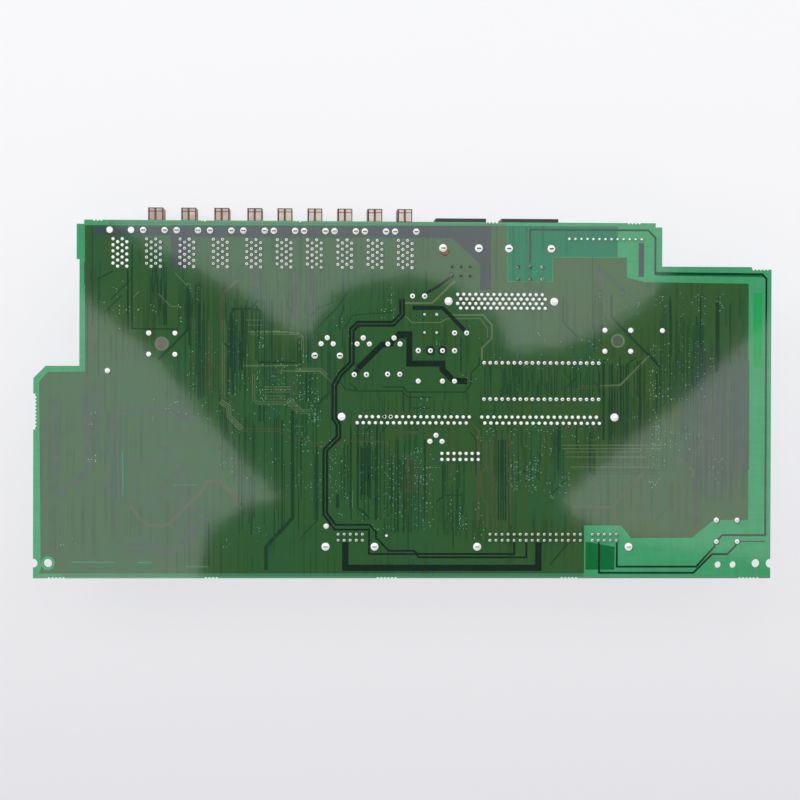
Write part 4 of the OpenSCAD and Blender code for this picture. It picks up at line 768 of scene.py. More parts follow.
# Joints that differ: left, low, right and high of the area, share of the pad's radius and of the height
JOINT_AREAS = [
    (160.0, 100.0, 170.0, 113.0, 0.55, 0.7), (114.0, 91.0, 130.0, 95.0, 0.78, 1.0),
    (145.0, 16.0, 149.0, 20.0, 0.6, 0.6), (172.0, 129.2, 184.0, 133.0, 0.45, 0.2),
    (176.0, 122.0, 184.0, 129.2, 0.45, 0.2), (172.0, 122.0, 176.0, 129.2, 0.62, 0.35),
    (200.0, 122.0, 214.0, 133.0, 0.6, 0.5), (30.0, 143.0, 166.0, 148.0, 0.8, 1.0),
    (221.0, 140.0, 256.0, 145.0, 0.75, 0.8), (186.0, 74.0, 238.0, 92.0, 1.05, 1.0),
    (188.0, 14.5, 246.0, 20.0, 0.82, 0.9), (125.0, 14.5, 139.0, 20.0, 0.82, 0.9),
]
RING_MIDDLES, RING_RADIUS = [(165.3, 95.5), (170.4, 95.5)], 2.0
OPEN_HOLES = [(146.2, 67.7), (148.8, 67.7)]
FLUX_MIDDLE, FLUX_RADIUS = (171.2, 137.2), 2.1
SOLDER_NODES = ["solder_signal", "solder_unfitted", "solder_sockets", "solder_lugs", "solder_parts"]


def node_material(names, material):
    """Gives CAD nodes their finish."""
    for name in names:
        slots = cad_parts[name].data.materials
        slots.clear()
        slots.append(material)


# ---- materials: the numbers of a noise are its lumps in a metre along X, Y and Z ----


def mask_over_plane(name, colour, warm, gloss, streak=0.5, shine=0.5, crowd=None):
    """Solder mask over copper: warm and cool patches, upright bands and faint tracks of the inner layers,
    and a film a little uneven across its width. An oval where inner lines crowd has a colour of its own."""
    paint = Paint(name)
    patch = paint.noise((14, 22, 1), detail=3).ramp(0.4, 0.7) * 0.6 + paint.axis("X").ramp(-0.06, 0.12) * 0.4
    band = paint.noise((240, 9, 1), detail=1).ramp(0.46, 0.6) * paint.noise((22, 26, 1)).ramp(0.42, 0.6)
    tracks = paint.noise((700, 12, 1), detail=1).ramp(0.5, 0.62) * paint.noise((30, 45, 1)).ramp(0.42, 0.6)
    cross = paint.noise((14, 520, 1), detail=1).ramp(0.58, 0.75) * paint.noise((40, 30, 1)).ramp(0.55, 0.75)
    cool = (colour[0] * 0.8, colour[1] * 1.04, colour[2] * 1.35)
    base = paint.mix(band * 0.6, paint.mix(patch, colour, warm), cool)
    if crowd:
        across, along = [(paint.axis(axis) - middle) * (1 / half / MM)
                         for axis, middle, half in zip("XY", from_corner(CROWD_MIDDLE), CROWD_HALF)]
        near = 1 - (across * across + along * along + paint.noise((60, 25, 1)) * 0.5).ramp(0.6, 1.4)
        fine = paint.noise((1500, 14, 1), detail=1).ramp(0.45, 0.6)
        base = paint.mix(near, base, paint.mix(fine, crowd, shade(crowd, 1.5)))
    deep = paint.mix(tracks * streak + cross * (streak * 0.6), base, shade(colour, 0.5))
    ripple = paint.noise((420, 60, 1), detail=1) + paint.noise((110, 150, 1), detail=1) * 2.5
    return paint.finish(deep, gloss, bump=ripple, bump_depth=0.0026 * MM, shine=shine)


def mask_over_laminate(name, colour, deep, edge, gloss):
    """Clear mask over glass laminate: the weave, slow changes of shade, and the sawn edge on the sides,
    mixed there with the painted shade of the shaded laminate colour.
    """
    paint = Paint(name)
    weave = paint.noise((900, 90, 90), detail=1) + paint.noise((90, 900, 90), detail=1)
    slow = paint.noise((18, 26, 1), detail=3).ramp(0.3, 0.75)
    face = paint.mix(slow * 0.35, colour, shade(colour, 0.72))
    face = paint.mix(weave.ramp(0.85, 1.2) * 0.18, face, shade(colour, 1.35))
    rim = paint.axis("Y").ramp(BOARD_LOW.y + 0.4 * MM, BOARD_LOW.y + 0.7 * MM)
    face = paint.mix(rim * 0.75 + 0.25, edge, face)
    sawn = paint.mix(paint.noise((1500, 1500, 400), detail=4), edge, shade(edge, 0.5))
    side = paint.side_face()
    # Side faces: the sawn edge, mixed with the shaded laminate colour, which is painted shade
    colour_all = paint.mix(side, face, paint.mix(0.4, sawn, deep))
    return paint.finish(colour_all, side * 0.5 + gloss, bump=weave, bump_depth=0.0012 * MM, shine=0.3)


def line_finish(name, colour, gloss):
    """Mask over one copper line, a little uneven along it."""
    paint = Paint(name)
    uneven = paint.noise((160, 160, 1), detail=2).ramp(0.3, 0.7)
    return paint.finish(paint.mix(uneven * 0.4, colour, shade(colour, 1.5)), gloss)


def solder_finish(name, colour, stain_colour):
    """Bright solder with small dull patches, flux film and ripples."""
    paint = Paint(name)
    dull = paint.noise(1400, detail=3).ramp(0.5, 0.75)
    stain = paint.noise(90, detail=2).ramp(0.68, 0.8)
    face = paint.mix(dull * 0.3, colour, shade(colour, 0.85))
    face = paint.mix(stain * 0.2, face, stain_colour)
    return paint.finish(face, dull * 0.15 + 0.4, metal=0.08, bump=paint.noise(2600, detail=2),
                        bump_depth=0.03 * MM)


def metal_finish(name, colour, rough=0.3, brushed=(300, 300, 300), wear=0.6, metal=1.0):
    """Plated or rolled metal: fine brushing, cloudy wear and a slight change of gloss."""
    paint = Paint(name)
    grain = paint.noise(brushed, detail=3)
    cloud = paint.noise(70, detail=3).ramp(0.35, 0.75)
    face = paint.mix(cloud * 0.5, colour, shade(colour, wear))
    return paint.finish(face, grain * 0.16 + (rough - 0.08), metal=metal, bump=grain, bump_depth=METAL_BUMP)


def plastic_finish(name, colour, rough=0.42, grain_size=2400, depth=0.02):
    """Moulded plastic: fine spark-eroded grain, depth millimetres deep, and faint flow marks. Legs above
    the board are tinned."""
    paint = Paint(name)
    grain = paint.noise(grain_size, detail=3)
    flow = paint.noise((60, 200, 60), detail=3).ramp(0.4, 0.75)
    leg = paint.axis("Z") > TOP
    tinned = bpy.context.scene.board_solder.lead
    face = paint.mix(leg, paint.mix(flow * 0.4, colour, shade(colour, 1.35)), tinned)
    return paint.finish(face, grain * 0.18 + (rough - 0.09), metal=leg * 0.5, bump=grain,
                        bump_depth=depth * MM)


# ---- one operator for each group of pieces ----


class BOARD_OT_lay_mask(bpy.types.Operator):
    """Board's solder mask, with the copper planes as thin plates under it"""

    bl_idname = "board.lay_mask"
    bl_label = "Lay Solder Mask"

    def execute(self, context):
        mask = context.scene.board_mask
        node_material(["board"], mask_over_laminate(
            "mask_on_laminate", mask.laminate, mask.laminate_shaded, mask.edge, mask.gloss))
        spacers = solids_of("spacers")[0] / MM - CORNER / MM
        holes = [arc(middle, RING_SEAT, 360, 15, 24) for middle in spacers]
        self.lay("copper_plane", [PLANE], [holes], 1.0, mask_over_plane(
            "mask_on_plane", mask.plane, mask.plane_warm, mask.gloss, crowd=mask.dense))
        # piece, what its finish lies on, areas, colour, share of it in patches, height in mask steps,
        # streak, shine
        for piece, base, areas, colour, patch, rise, streak, shine in [
            ("power_plane", "power_plane", TEAL_AREAS, mask.teal, 1.25, 0.8, 0.4, 0.3),
            # Painted shade: laminate darkened where parts on the far side block the light through the board
            ("shaded_laminate", "shaded_laminate", SHADED_LAMINATE_AREAS, mask.laminate_shaded, 1.3, 0.6, 0.4, 0.3),
            # Painted shade: the rim strips are darkened laminate
            ("rim_strips", "rim", SHADED_RIM_AREAS, mask.rim, 1.1, 0.6, 0.2, 0.45),
            ("clear_strip", "clear_strip", CLEAR_AREAS, mask.clear, 1.1, 0.6, 0.2, 0.3),
            ("screen_copper", "screen", SCREEN_AREAS, mask.screen, 0.8, 1.25, 0.3, 0.4),
        ]:
            self.lay(piece, areas, [], rise, mask_over_plane(
                f"mask_on_{base}", colour, shade(colour, patch), mask.gloss, streak, shine))
        self.lay("spacer_rings", [arc(middle, RING_OUTER, 0, 345, 24) for middle in spacers],
                 [[arc(middle, RING_INNER, 360, 15, 24)] for middle in spacers], 1.5,
                 line_finish("mask_on_ring", mask.ring, mask.gloss))
        node_material(["heavy_tracks"], line_finish("mask_on_heavy_track", mask.track, mask.gloss))
        return {"FINISHED"}

    def lay(self, name, outlines, holes, rise, material):
        """One piece of plates, each from an outline in millimetres. rise is their height in mask steps,
        and they start a tenth of a step over the laminate."""
        skin = bpy.context.scene.board_mask.skin
        low = TOP + skin * 0.1
        outlines = [from_corner(outline) for outline in outlines]
        holes = [[from_corner(hole) for hole in cuts] for cuts in holes]
        verts, faces = plates(outlines, holes, low + skin * rise, low)
        add_piece(name, verts, faces, material)


class BOARD_OT_draw_lines(bpy.types.Operator):
    """Fine copper lines and plated dots of the solder side"""

    bl_idname = "board.draw_lines"
    bl_label = "Draw Fine Lines"

    def execute(self, context):
        trace = context.scene.board_trace
        mask = context.scene.board_mask
        paths = {kind: [] for kind in sorted(LINES)}
        for kind, lines in LINES.items():
            for head, *points in lines:
                width, count, pitch = head if isinstance(head, tuple) else (head, 1, 0.0)
                self.bundle(paths[kind], from_corner(points), width * MM, count, pitch * MM)
        draw = np.random.default_rng(LINE_SEED)
        for kind, *field in FIELDS:
            self.field(paths[kind], draw, *field)
        layer = 0
        for kind, lines in paths.items():
            # Lines that cross must not share a height, so the heights go round in small steps
            step = (layer + np.arange(len(lines))) % HEIGHTS
            layer += len(lines)
            verts, faces = ribbons([path for path, _ in lines], [width for _, width in lines], TOP,
                                   TOP + trace.rise * (1 + step * HEIGHT_STEP))
            colour = mask.track if kind == "heavy" else getattr(trace, kind)
            finish = line_finish(f"mask_on_{kind}_line", colour, mask.gloss)
            add_piece(f"lines_{kind}", verts, faces, finish)
        self.dots(trace, draw)
        return {"FINISHED"}

    def bundle(self, lines, path, width, count, pitch):
        """Lines side by side: each is the path, moved sideways by its own share of the pitch."""
        side = sideways(path)
        for place in range(count):
            lines.append((path + side * pitch * (place - (count - 1) / 2), width))

    def field(self, lines, draw, left, right, low, high, count, width):
        """Upright lines over a rectangle, each at a seeded place on a fine grid. Most run nearly its whole
        height, and some step aside over a short slanted leg."""
        for x in left + LINE_GRID * draw.integers(0, max(1, int((right - left) / LINE_GRID)), count):
            bottom = low + (high - low) * draw.choice([0, draw.uniform(0, 0.5)])
            top = high - (high - bottom) * draw.choice([0, draw.uniform(0, 0.6)])
            path = [(x, bottom), (x, top)]
            if draw.random() < STEPPED_SHARE:
                shift = draw.choice([-1, 1]) * draw.uniform(0.6, 2.4)
                knee = draw.uniform(bottom + 0.3 * (top - bottom), top)
                rise = abs(shift)
                path = [(x, bottom), (x, knee), (x + shift, knee + rise), (x + shift, top + rise)]
            lines.append((from_corner(path), draw.uniform(0.75, 1.25) * width * MM))

    def dots(self, trace, draw):
        """Plated dots: a low drum for each, at seeded places on the line grid and in straight rows."""
        places = [np.array([left, low]) + draw.random((count, 2)) * [right - left, high - low]
                  for left, right, low, high, count in DOT_FIELDS]
        places = [np.round(p / DOT_GRID) * DOT_GRID + draw.choice([0, 0.4], (len(p), 1)) for p in places]
        places += [np.array(first) + np.arange(count)[:, None] * np.array(step)
                   for first, step, count in DOT_ROWS]
        middles = from_corner(np.unique(np.concatenate(places), axis=0))
        middles = middles[self.clear_of_pads(middles)]
        profile = [(0, 0), (trace.dot_radius, 0), (trace.dot_radius, trace.dot_rise * 0.8),
                   (trace.dot_radius * 0.7, trace.dot_rise), (0, trace.dot_rise)]
        verts, faces = stamps(profile, middles, draw.uniform(0.55, 1.15, len(middles)), sides=8)
        add_piece("plated_dots", verts, faces, line_finish("mask_in_dot", trace.dot, 0.3))
        gaps = middles[draw.random(len(middles)) < CLEARED_SHARE]
        verts, faces = stamps(drum(1, trace.rise * 1.1), gaps,
                              draw.uniform(1.7, 2.6, len(gaps)) * trace.dot_radius, sides=8)
        add_piece("dot_clearances", verts, faces, line_finish("mask_in_clearance", trace.dark, 0.1))

    def clear_of_pads(self, middles):
        """True for each point that lies off every soldered pad."""
        found = [solids_of(node) for node in SOLDER_NODES]
        pads, radius = [np.concatenate(part) for part in zip(*found)]
        gap = np.linalg.norm(middles[:, None] - pads[None], axis=2) - radius[None]
        return gap.min(axis=1) > DOT_GAP * MM


class BOARD_OT_form_solder(bpy.types.Operator):
    """Solder fillets round the leads, and plugs in the empty holes"""

    bl_idname = "board.form_solder"
    bl_label = "Form Solder"

    def execute(self, context):
        solder = context.scene.board_solder
        finish = solder_finish("bright_solder", solder.tin, solder.flux_film)
        # Painted shadow: a dark disc under each joint, a little to its lower right
        joint_shadow = line_finish("mask_at_pad", context.scene.board_trace.dark, 0.3)
        draw = np.random.default_rng(SOLDER_SEED)
        # node, height, share of the pad that stays flat at the collar
        for node, height, collar in [
            ("solder_signal", solder.fillet * 0.8, 0.42), ("solder_sockets", solder.fillet, 0.5),
            ("solder_parts", solder.fillet * 1.1, 0.34), ("solder_lugs", solder.lug_fillet, 0.45),
        ]:
            self.form(node, self.fillet(height, collar), solder.spread, COVERING_CAP, draw, finish, joint_shadow)
        self.flux(from_corner(FLUX_MIDDLE), FLUX_RADIUS * MM, line_finish("brown_flux", solder.flux, 0.12))
        dark = line_finish("mask_at_heavy_joint", context.scene.board_mask.track, 0.1)
        self.discs("joint_clearances", from_corner(RING_MIDDLES), RING_RADIUS, 0.06, dark)
        self.discs("open_hole_rims", from_corner(OPEN_HOLES), 0.8, 0.05, finish)
        # Painted shade: a dark disc in each open hole, where its inside lies in shadow
        self.discs("open_hole_wells", from_corner(OPEN_HOLES), 0.55, 0.07, dark)
        self.form("solder_unfitted", self.crown(solder.crown), solder.spread * 0.4, 0.0, draw, finish, joint_shadow)
        return {"FINISHED"}

    def discs(self, name, middles, radius, rise, finish):
        """Flat round plates, in millimetres: bare rings round joints, rims of open holes, and dark discs of
        painted shade in their wells.
        """
        verts, faces = stamps(drum(1, rise * MM), middles, np.full(len(middles), radius * MM), sides=20)
        add_piece(name, verts, faces, finish)

    def flux(self, middle, radius, finish):
        """Brown flux that ran out at the lower right of one lug."""
        profile = np.array([(0, 0), (1, 0), (1, 0.1), (0.7, 0.16), (0, 0.16)]) * [1, MM]
        verts, faces = stamps(profile, [middle], [radius], sides=20)
        add_piece("flux_stain", verts, faces, finish)

    def fillet(self, height, collar):
        """Profile that sweeps up from the pad's rim to the lead: from 0.08 of the height at the rim, it
        rises as the power 1.8 of the way in."""
        way = np.linspace(0, 1, 4)
        rise = np.column_stack([1 - (1 - collar) * way, height * (0.08 + 0.92 * way ** 1.8)])
        return np.vstack([[0, 0], [1, 0], rise, [0, height * 1.02]])

    def crown(self, height):
        """Profile of a low drop: 0.85 of the height falls off as the square of the radius."""
        way = np.linspace(1, 0.2, 4)
        drop = np.column_stack([way, height * (1 - 0.85 * way ** 2)])
        return np.vstack([[0, 0], [1, 0], drop, [0, height]])

    def form(self, node, profile, spread, cap, draw, finish, joint_shadow):
        """One piece for a node's joints, and one of painted shadow under them: dark discs moved a little to
        their lower right. One joint in five covers its lead, and is higher by the cap's share."""
        middles, radius = solids_of(node)
        count = len(middles)
        height = 1 + spread * draw.uniform(-1, 1, count) + cap * (draw.random(count) < COVERED_SHARE)
        lean = draw.normal(0, 0.08, (count, 2)) * radius[:, None]
        place = (middles - CORNER) / MM
        for left, low, right, high, radius_share, height_share in JOINT_AREAS:
            here = np.all((place > [left, low]) & (place < [right, high]), axis=1)
            radius = np.where(here, radius * radius_share, radius)
            height = np.where(here, height * height_share, height)
        verts, faces = stamps(profile, middles, radius, height, lean)
        piece = add_piece(node + "_fillets", verts, faces, finish, smooth=True)
        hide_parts(node)
        # Painted shadow of each joint: a dark disc, larger than its pad and moved to its lower right
        aside = np.array(JOINT_SHADOW_ASIDE) * MM
        verts, faces = stamps(drum(1, JOINT_SHADOW_RISE * MM), middles + aside, radius + JOINT_SHADOW_MARGIN * MM)
        add_piece(node + "_seats", verts, faces, joint_shadow)


class BOARD_OT_finish_metal(bpy.types.Operator):
    """Shells, contacts, leads, spacers and other metal"""

    bl_idname = "board.finish_metal"
    bl_label = "Finish Metal Parts"

    def execute(self, context):
        solder = context.scene.board_solder
        metal = context.scene.board_metal
        shells = [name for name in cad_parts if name.startswith("signal_shell_")]
        node_material(shells, metal_finish("shell_frame", metal.shell, 0.45, (500, 60, 500), 0.7, 0.5))
        self.shell_windows([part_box(name) for name in shells], metal)
        for finish, tip, nodes in [
            ("dull_lead", shade(solder.lead, 0.5), ["edge_pins_1", "edge_pins_2"]),
            # On these leads the top end's colour is painted shade
            ("cut_lead", solder.tip, ["power_tabs_1", "power_tabs_2", "capacitor_leads", "dip_leads",
                                      "chip_leads", "signal_contacts"]),
            ("tinned_lead", solder.tin, ["stack_contacts", "module_contacts", "mid_header_pins",
                                         "test_posts", "strip_contacts"]),
        ]:
            node_material(nodes, self.lead(finish, solder, tip))
        node_material(["spacers"], self.spacer(solder, metal))
        node_material(["module_latches"], metal_finish("spring_steel", metal.latch, 0.3, (60, 900, 900)))
        node_material(["heat_sink"],
                      metal_finish("blackened_sink", metal.sink, 0.5, (60, 60, 500), 1.4, 0.3))
        return {"FINISHED"}

    def lead(self, name, solder, tip):
        """Tinned lead whose cut end above the solder takes a colour of its own. On cut leads that colour is
        painted shade, nearly black.
        """
        paint = Paint(name)
        end = paint.axis("Z") > TOP + LEAD_RISE * MM - solder.tip_length
        grain = paint.noise(900, detail=3)
        cloud = paint.noise(70, detail=3).ramp(0.35, 0.75)
        face = paint.mix(cloud * 0.5, solder.lead, shade(solder.lead, 0.75))
        return paint.finish(paint.mix(end, face, tip), grain * 0.16 + 0.28, metal=1 - end * 0.8,
                            bump=grain, bump_depth=METAL_BUMP)

    def spacer(self, solder, metal):
        """Plated spacer: tinned legs above the board, and a greenish rim round each boss. The bosses'
        colours are painted reflection: lighter on the left spacer, darker on the right one.
        """
        paint = Paint("dull_spacer")
        leg = paint.axis("Z") > TOP + 0.1 * MM
        grain = paint.noise((600, 600, 60), detail=3)
        rim = 1.0
        for x, y in solids_of("spacers")[0]:
            away_x, away_y = paint.axis("X") - float(x), paint.axis("Y") - float(y)
            rim = (away_x * away_x + away_y * away_y > (BOSS_RIM_RADIUS * MM) ** 2) * rim
        brown = paint.mix(grain, metal.left_spacer_reflection, metal.left_spacer_mottle)
        # Painted reflection: the spacer right of the board's middle is drawn darker than the left one
        face = paint.mix(paint.axis("X") > 0.0, brown, metal.right_spacer_reflection)
        face = paint.mix(rim, face, metal.pale_rim)
        return paint.finish(paint.mix(leg, face, solder.tin), 0.5, metal=leg * -0.1 + 0.4,
                            bump=grain, bump_depth=METAL_BUMP)

    def shell_windows(self, boxes, metal):
        """Two bright sunk windows in each shell's face, with fold lines of painted shade round them: dark
        ribbons where the sheet is creased.
        """
        windows, folds, widths = [], [], []
        for low, high in boxes:
            middle, front, back = (low.x + high.x) / 2, high.y - 0.35 * MM, BOARD_HIGH.y + 0.75 * MM
            for inner, outer in WINDOW_SIDES:
                left, right = sorted([middle + inner * MM, middle + outer * MM])
                windows.append([(left, back), (right, back), (right, front), (left, front)])
            for x in UPRIGHT_FOLDS:
                folds.append([(middle + x * MM, back - 0.5 * MM), (middle + x * MM, high.y - 0.1 * MM)])
                widths.append(UPRIGHT_FOLD_WIDTH * MM)
            for y in (high.y - 1.55 * MM, high.y - 0.2 * MM, back - 0.1 * MM):
                folds.append([(middle - CROSS_FOLD_HALF * MM, y), (middle + CROSS_FOLD_HALF * MM, y)])
                widths.append(CROSS_FOLD_WIDTH * MM)
        foot, window, fold = [BOARD_LOW.z - SHELL_DROP * MM + rise * MM for rise in SHELL_RISES]
        verts, faces = plates(windows, [], window, foot)
        add_piece("shell_windows", verts, faces, self.window(metal))
        # The folds are painted shade: dark ribbons where the sheet is creased
        verts, faces = ribbons(folds, widths, foot, np.full(len(folds), fold))
        add_piece("shell_folds", verts, faces, metal_finish("dark_fold", metal.fold, 0.5, 900, 0.8, 0.3))

    def window(self, metal):
        """Plated sheet with painted reflection: brown at the left of the row and pale at its right."""
        paint = Paint("bright_window")
        grain = paint.noise((900, 200, 300), detail=3)
        row = paint.axis("X").ramp(-0.11, -0.01)
        face = paint.mix(row, metal.left_window, metal.right_window)
        face = paint.mix(paint.noise((400, 260, 1), detail=2).ramp(0.5, 0.7) * 0.5, face, metal.worn_window)
        return paint.finish(face, grain * 0.16 + 0.4, metal=0.3, bump=grain, bump_depth=METAL_BUMP)


class BOARD_OT_finish_parts(bpy.types.Operator):
    """Plastic housings, packages and the parts with wire leads"""

    bl_idname = "board.finish_parts"
    bl_label = "Finish Parts"

    def execute(self, context):
        part = context.scene.board_part
        bodies = [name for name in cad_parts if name.startswith("signal_body_")]
        # finish, colour, roughness, lumps in a metre, grain depth, nodes
        for finish, colour, rough, lumps, depth, nodes in [
            ("black_nylon", part.nylon, 0.45, 2400, 0.02, [
                "power_housing_1", "power_housing_2", "strip_base", "mid_header_base", "edge_header_1",
                "edge_header_2", "stack_housing", "sounder"]),
            ("grey_moulding", part.grey, 0.5, 2400, 0.02, bodies),
            ("ivory_moulding", part.ivory, 0.4, 2400, 0.02, ["module_socket"]),
            ("chip_resin", part.resin, 0.55, 3600, 0.04, ["dip_package", "chip_packages"]),
            ("dipped_resin", part.dipped, 0.3, 500, 0.06, ["film_capacitors"]),
            ("ferrite", part.ferrite, 0.6, 1500, 0.06, ["choke"]),
            ("blue_moulding", part.blue, 0.35, 2400, 0.02, ["trimmer"]),
        ]:
            node_material(nodes, plastic_finish(finish, colour, rough, lumps, depth))
        node_material(["capacitor_cans"], self.sleeve(part))
        node_material(["power_transistors"], self.transistor(part))
        return {"FINISHED"}

    def sleeve(self, part):
        """Shrunk sleeve on an aluminium can: bare metal shows at the far end."""
        paint = Paint("can_sleeve")
        end = paint.axis("Z") < BARE_CAN_END * MM
        wrinkle = paint.noise((300, 300, 120), detail=3)
        face = paint.mix(wrinkle.ramp(0.4, 0.7) * 0.5, part.sleeve, part.sleeve_light)
        colour = paint.mix(end, face, part.can)
        return paint.finish(colour, end * 0.1 + 0.28, metal=end, bump=wrinkle, bump_depth=0.04 * MM)

    def transistor(self, part):
        """Resin body between the tinned leads above it and the metal tab below."""
        paint = Paint("power_package")
        height = paint.axis("Z")
        body_low, body_high = [BOARD_LOW.z - drop * MM for drop in RESIN_DROPS]
        resin = (height > body_low) * (height < body_high)
        grain = paint.noise(2200, detail=3)
        metal = paint.mix(grain, part.tab, part.tab_light)
        return paint.finish(paint.mix(resin, metal, part.resin), resin * 0.25 + 0.3, metal=1 - resin,
                            bump=grain, bump_depth=0.02 * MM)


class BOARD_OT_build_stage(bpy.types.Operator):
    """Floor, dark ceiling with light panels, lamp, world and camera"""

    bl_idname = "board.build_stage"
    bl_label = "Build Stage"

    # Light panels by their mirror image on the board, in millimetres from its corner
    PANELS = [
        [(-40, 178), (21.3, 115.9), (48.3, 95.2), (69.2, 70.3), (90.1, 45.3), (103.5, 33.2),
         (85.9, 29.4), (72.6, 20.2), (67.0, -10), (66, -60), (-120, -60), (-120, 120)],
        [(0, 166), (35.7, 146.0), (69.0, 127.8), (89.8, 117.1), (106.6, 102.6), (114.9, 102.6),
         (125.3, 119.8), (139.9, 124.9), (156.7, 127.1), (175.6, 123.8), (181.9, 116.7), (193.3, 110.5),
         (198.8, 95.8), (219.9, 97.6), (240.9, 105.3), (257.8, 117.1), (262.8, 126.0), (300, 162),
         (330, 260), (0, 260)],
        [(350, 150), (299.4, 100.5), (279.1, 81.4), (258.0, 64.5), (237.0, 47.6), (220.1, 32.9),
         (228.6, 24.5), (241.3, 18.2), (304.9, 7.7), (400, 0), (420, 150)],
    ]

    def execute(self, context):
        stage = context.scene.board_stage
        scene = context.scene
        scene.view_settings.view_transform = "Standard"
        self.floor(stage)
        camera = self.camera(stage)
        self.ceiling(stage, camera)
        self.lamps(stage)
        self.world(stage)
        scene.camera = camera
        return {"FINISHED"}

    def floor(self, stage):
        """Wide square floor under the board, with a faint paper grain. To the camera and in gloss it shows
        a plain colour with painted shade: darker at the view's near side, paler at its far side."""
        paint = Paint("pale_floor")
        cloud = paint.noise(1.3, detail=2)
        grain = paint.noise(700, detail=3)
        face = paint.mix(cloud.ramp(0.35, 0.65) * 0.3, stage.floor, shade(stage.floor, 0.97))
        half, near, far = 5.0, -0.3, 0.17
        corners = [(-half, -half, 0), (half, -half, 0), (half, half, 0), (-half, half, 0)]
        material = paint.finish(face, 0.9, bump=grain, bump_depth=0.00002)
        # Painted shade: the shown colour darkens from the view's far side to its near side
        way = paint.axis("Y").ramp(near, far)
        shown = paint.node("ShaderNodeEmission", None,
                           {"Color": paint.mix(way, stage.floor_near, stage.floor_shown), "Strength": 1.0})
        seen = paint.node("ShaderNodeLightPath", out="Is Camera Ray") + paint.node(
            "ShaderNodeLightPath", out="Is Glossy Ray")
        paint.blend(seen * stage.floor_share, shown)
        add_object("floor", corners, [(0, 1, 2, 3)], material)

    def camera(self, stage):
        """Camera above the board: it looks down on the aim, turned by the tilt."""
        turn = Euler(stage.tilt).to_matrix().transposed()
        data = bpy.data.cameras.new("view")
        data.sensor_width = 36
        data.lens = stage.lens
        camera = bpy.data.objects.new("view", data)
        bpy.context.scene.collection.objects.link(camera)
        aim = Vector((BOARD_LOW.x + stage.aim[0], BOARD_LOW.y + stage.aim[1], TOP))
        camera.matrix_world = turn.to_4x4()
        camera.location = aim + turn @ Vector((0, 0, stage.view_distance))
        return camera

    def ceiling(self, stage, camera):
        """Dark disc overhead, and panels under it. The board is a mirror in the camera's view, so a point
        of the board shows the panel point on the line from the camera's foot, farther by the ratio of the
        two heights above the board."""
        dark = Paint("dark_ceiling")
        dark_face = dark.mix(dark.noise(2.0), stage.ceiling, stage.ceiling_light)
        ring = arc((0, 0), stage.ceiling_radius, 360, 5.625, 64)
        verts = np.column_stack([ring, np.full(len(ring), stage.ceiling_height)])
        add_object("dark_ceiling", verts, [range(len(ring))], dark.finish(dark_face, 0.9))
        glow = Paint("light_panel")
        face = glow.mix(glow.noise(2.0), stage.panel, shade(stage.panel, 0.875))
        glow.feed(glow.shader.inputs["Base Color"], face)
        glow.feed(glow.shader.inputs["Emission Color"], stage.panel_glow)
        glow.feed(glow.shader.inputs["Emission Strength"], stage.panel_light)
        foot = np.array(camera.location[:2])
        height = stage.ceiling_height - stage.panel_drop
        ratio = (height - TOP) / (camera.location.z - TOP)
        for place, outline in enumerate(self.PANELS):
            seen = from_corner(outline)
            flat = seen + (seen - foot) * ratio
            cut = tessellate_polygon([[Vector((*point, 0)) for point in flat]])
            verts = np.column_stack([flat, np.full(len(flat), height)])
            add_object(f"light_panel_{place + 1}", verts, cut, glow.material)

    def lamps(self, stage):
        """Large soft lamps round the board, out of its mirror image: strongest at the upper left."""
        for name, place, share in [
            ("left_lamp", (-1.2, 0.8, 1.1), 1.0), ("right_lamp", (1.2, 0.7, 1.2), 0.45),
            ("far_lamp", (0.0, 1.4, 1.2), 0.5), ("near_lamp", (-0.1, -1.4, 1.2), 0.3),
        ]:
            data = bpy.data.lights.new(name, "AREA")
            data.shape = "DISK"
            data.size = 0.8
            data.energy = stage.key * share
            lamp = bpy.data.objects.new(name, data)
            bpy.context.scene.collection.objects.link(lamp)
            lamp.location = place
            lamp.rotation_euler = (-lamp.location).to_track_quat("-Z", "Y").to_euler()

    def world(self, stage):
        """Pale light from all round."""
        world = bpy.data.worlds.new("pale_room")
        world.use_nodes = True
        back = world.node_tree.nodes["Background"]
        back.inputs["Color"].default_value = (1.0, 1.0, 1.0, 1.0)
        back.inputs["Strength"].default_value = stage.sky
        bpy.context.scene.world = world


class BOARD_PT_finish(bpy.types.Panel):
    """Buttons and settings of the board's finish"""

    bl_label = "Board Finish"
    bl_space_type = "VIEW_3D"
    bl_region_type = "UI"
    bl_category = "Board"

    def draw(self, context):
        for operator in OPERATORS:
            self.layout.operator(operator.bl_idname)
        for name, group in SETTINGS.items():
            box = self.layout.box()
            box.label(text=group.__doc__)
            for setting in group.__annotations__:
                box.prop(getattr(context.scene, name), setting)


SETTINGS = {
    "board_mask": BoardMaskSettings,
    "board_trace": BoardTraceSettings,
    "board_solder": BoardSolderSettings,
    "board_metal": BoardMetalSettings,
    "board_part": BoardPartSettings,
    "board_stage": BoardStageSettings,
}
OPERATORS = [
    BOARD_OT_lay_mask,
    BOARD_OT_draw_lines,
    BOARD_OT_form_solder,
    BOARD_OT_finish_metal,
    BOARD_OT_finish_parts,
    BOARD_OT_build_stage,
]


def register():
    """Add the settings, operators and panel to Blender."""
    for cls in [*SETTINGS.values(), *OPERATORS, BOARD_PT_finish]:
        bpy.utils.register_class(cls)
    for name, group in SETTINGS.items():
        setattr(bpy.types.Scene, name, bpy.props.PointerProperty(type=group))


def unregister():
    """Take out what register added."""
    for name in SETTINGS:
        delattr(bpy.types.Scene, name)
    for cls in reversed([*SETTINGS.values(), *OPERATORS, BOARD_PT_finish]):
        bpy.utils.unregister_class(cls)


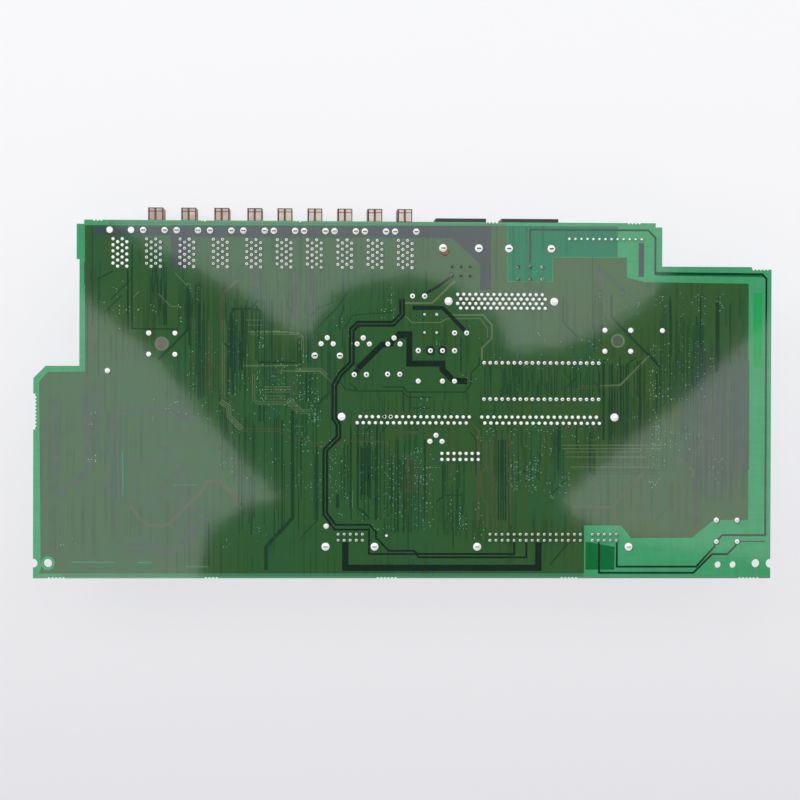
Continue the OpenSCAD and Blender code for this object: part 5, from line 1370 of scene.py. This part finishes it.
def main():
    """Run every step in order."""
    register()
    bpy.ops.board.lay_mask()
    bpy.ops.board.draw_lines()
    bpy.ops.board.form_solder()
    bpy.ops.board.finish_metal()
    bpy.ops.board.finish_parts()
    bpy.ops.board.build_stage()


if __name__ == "__main__":
    main()
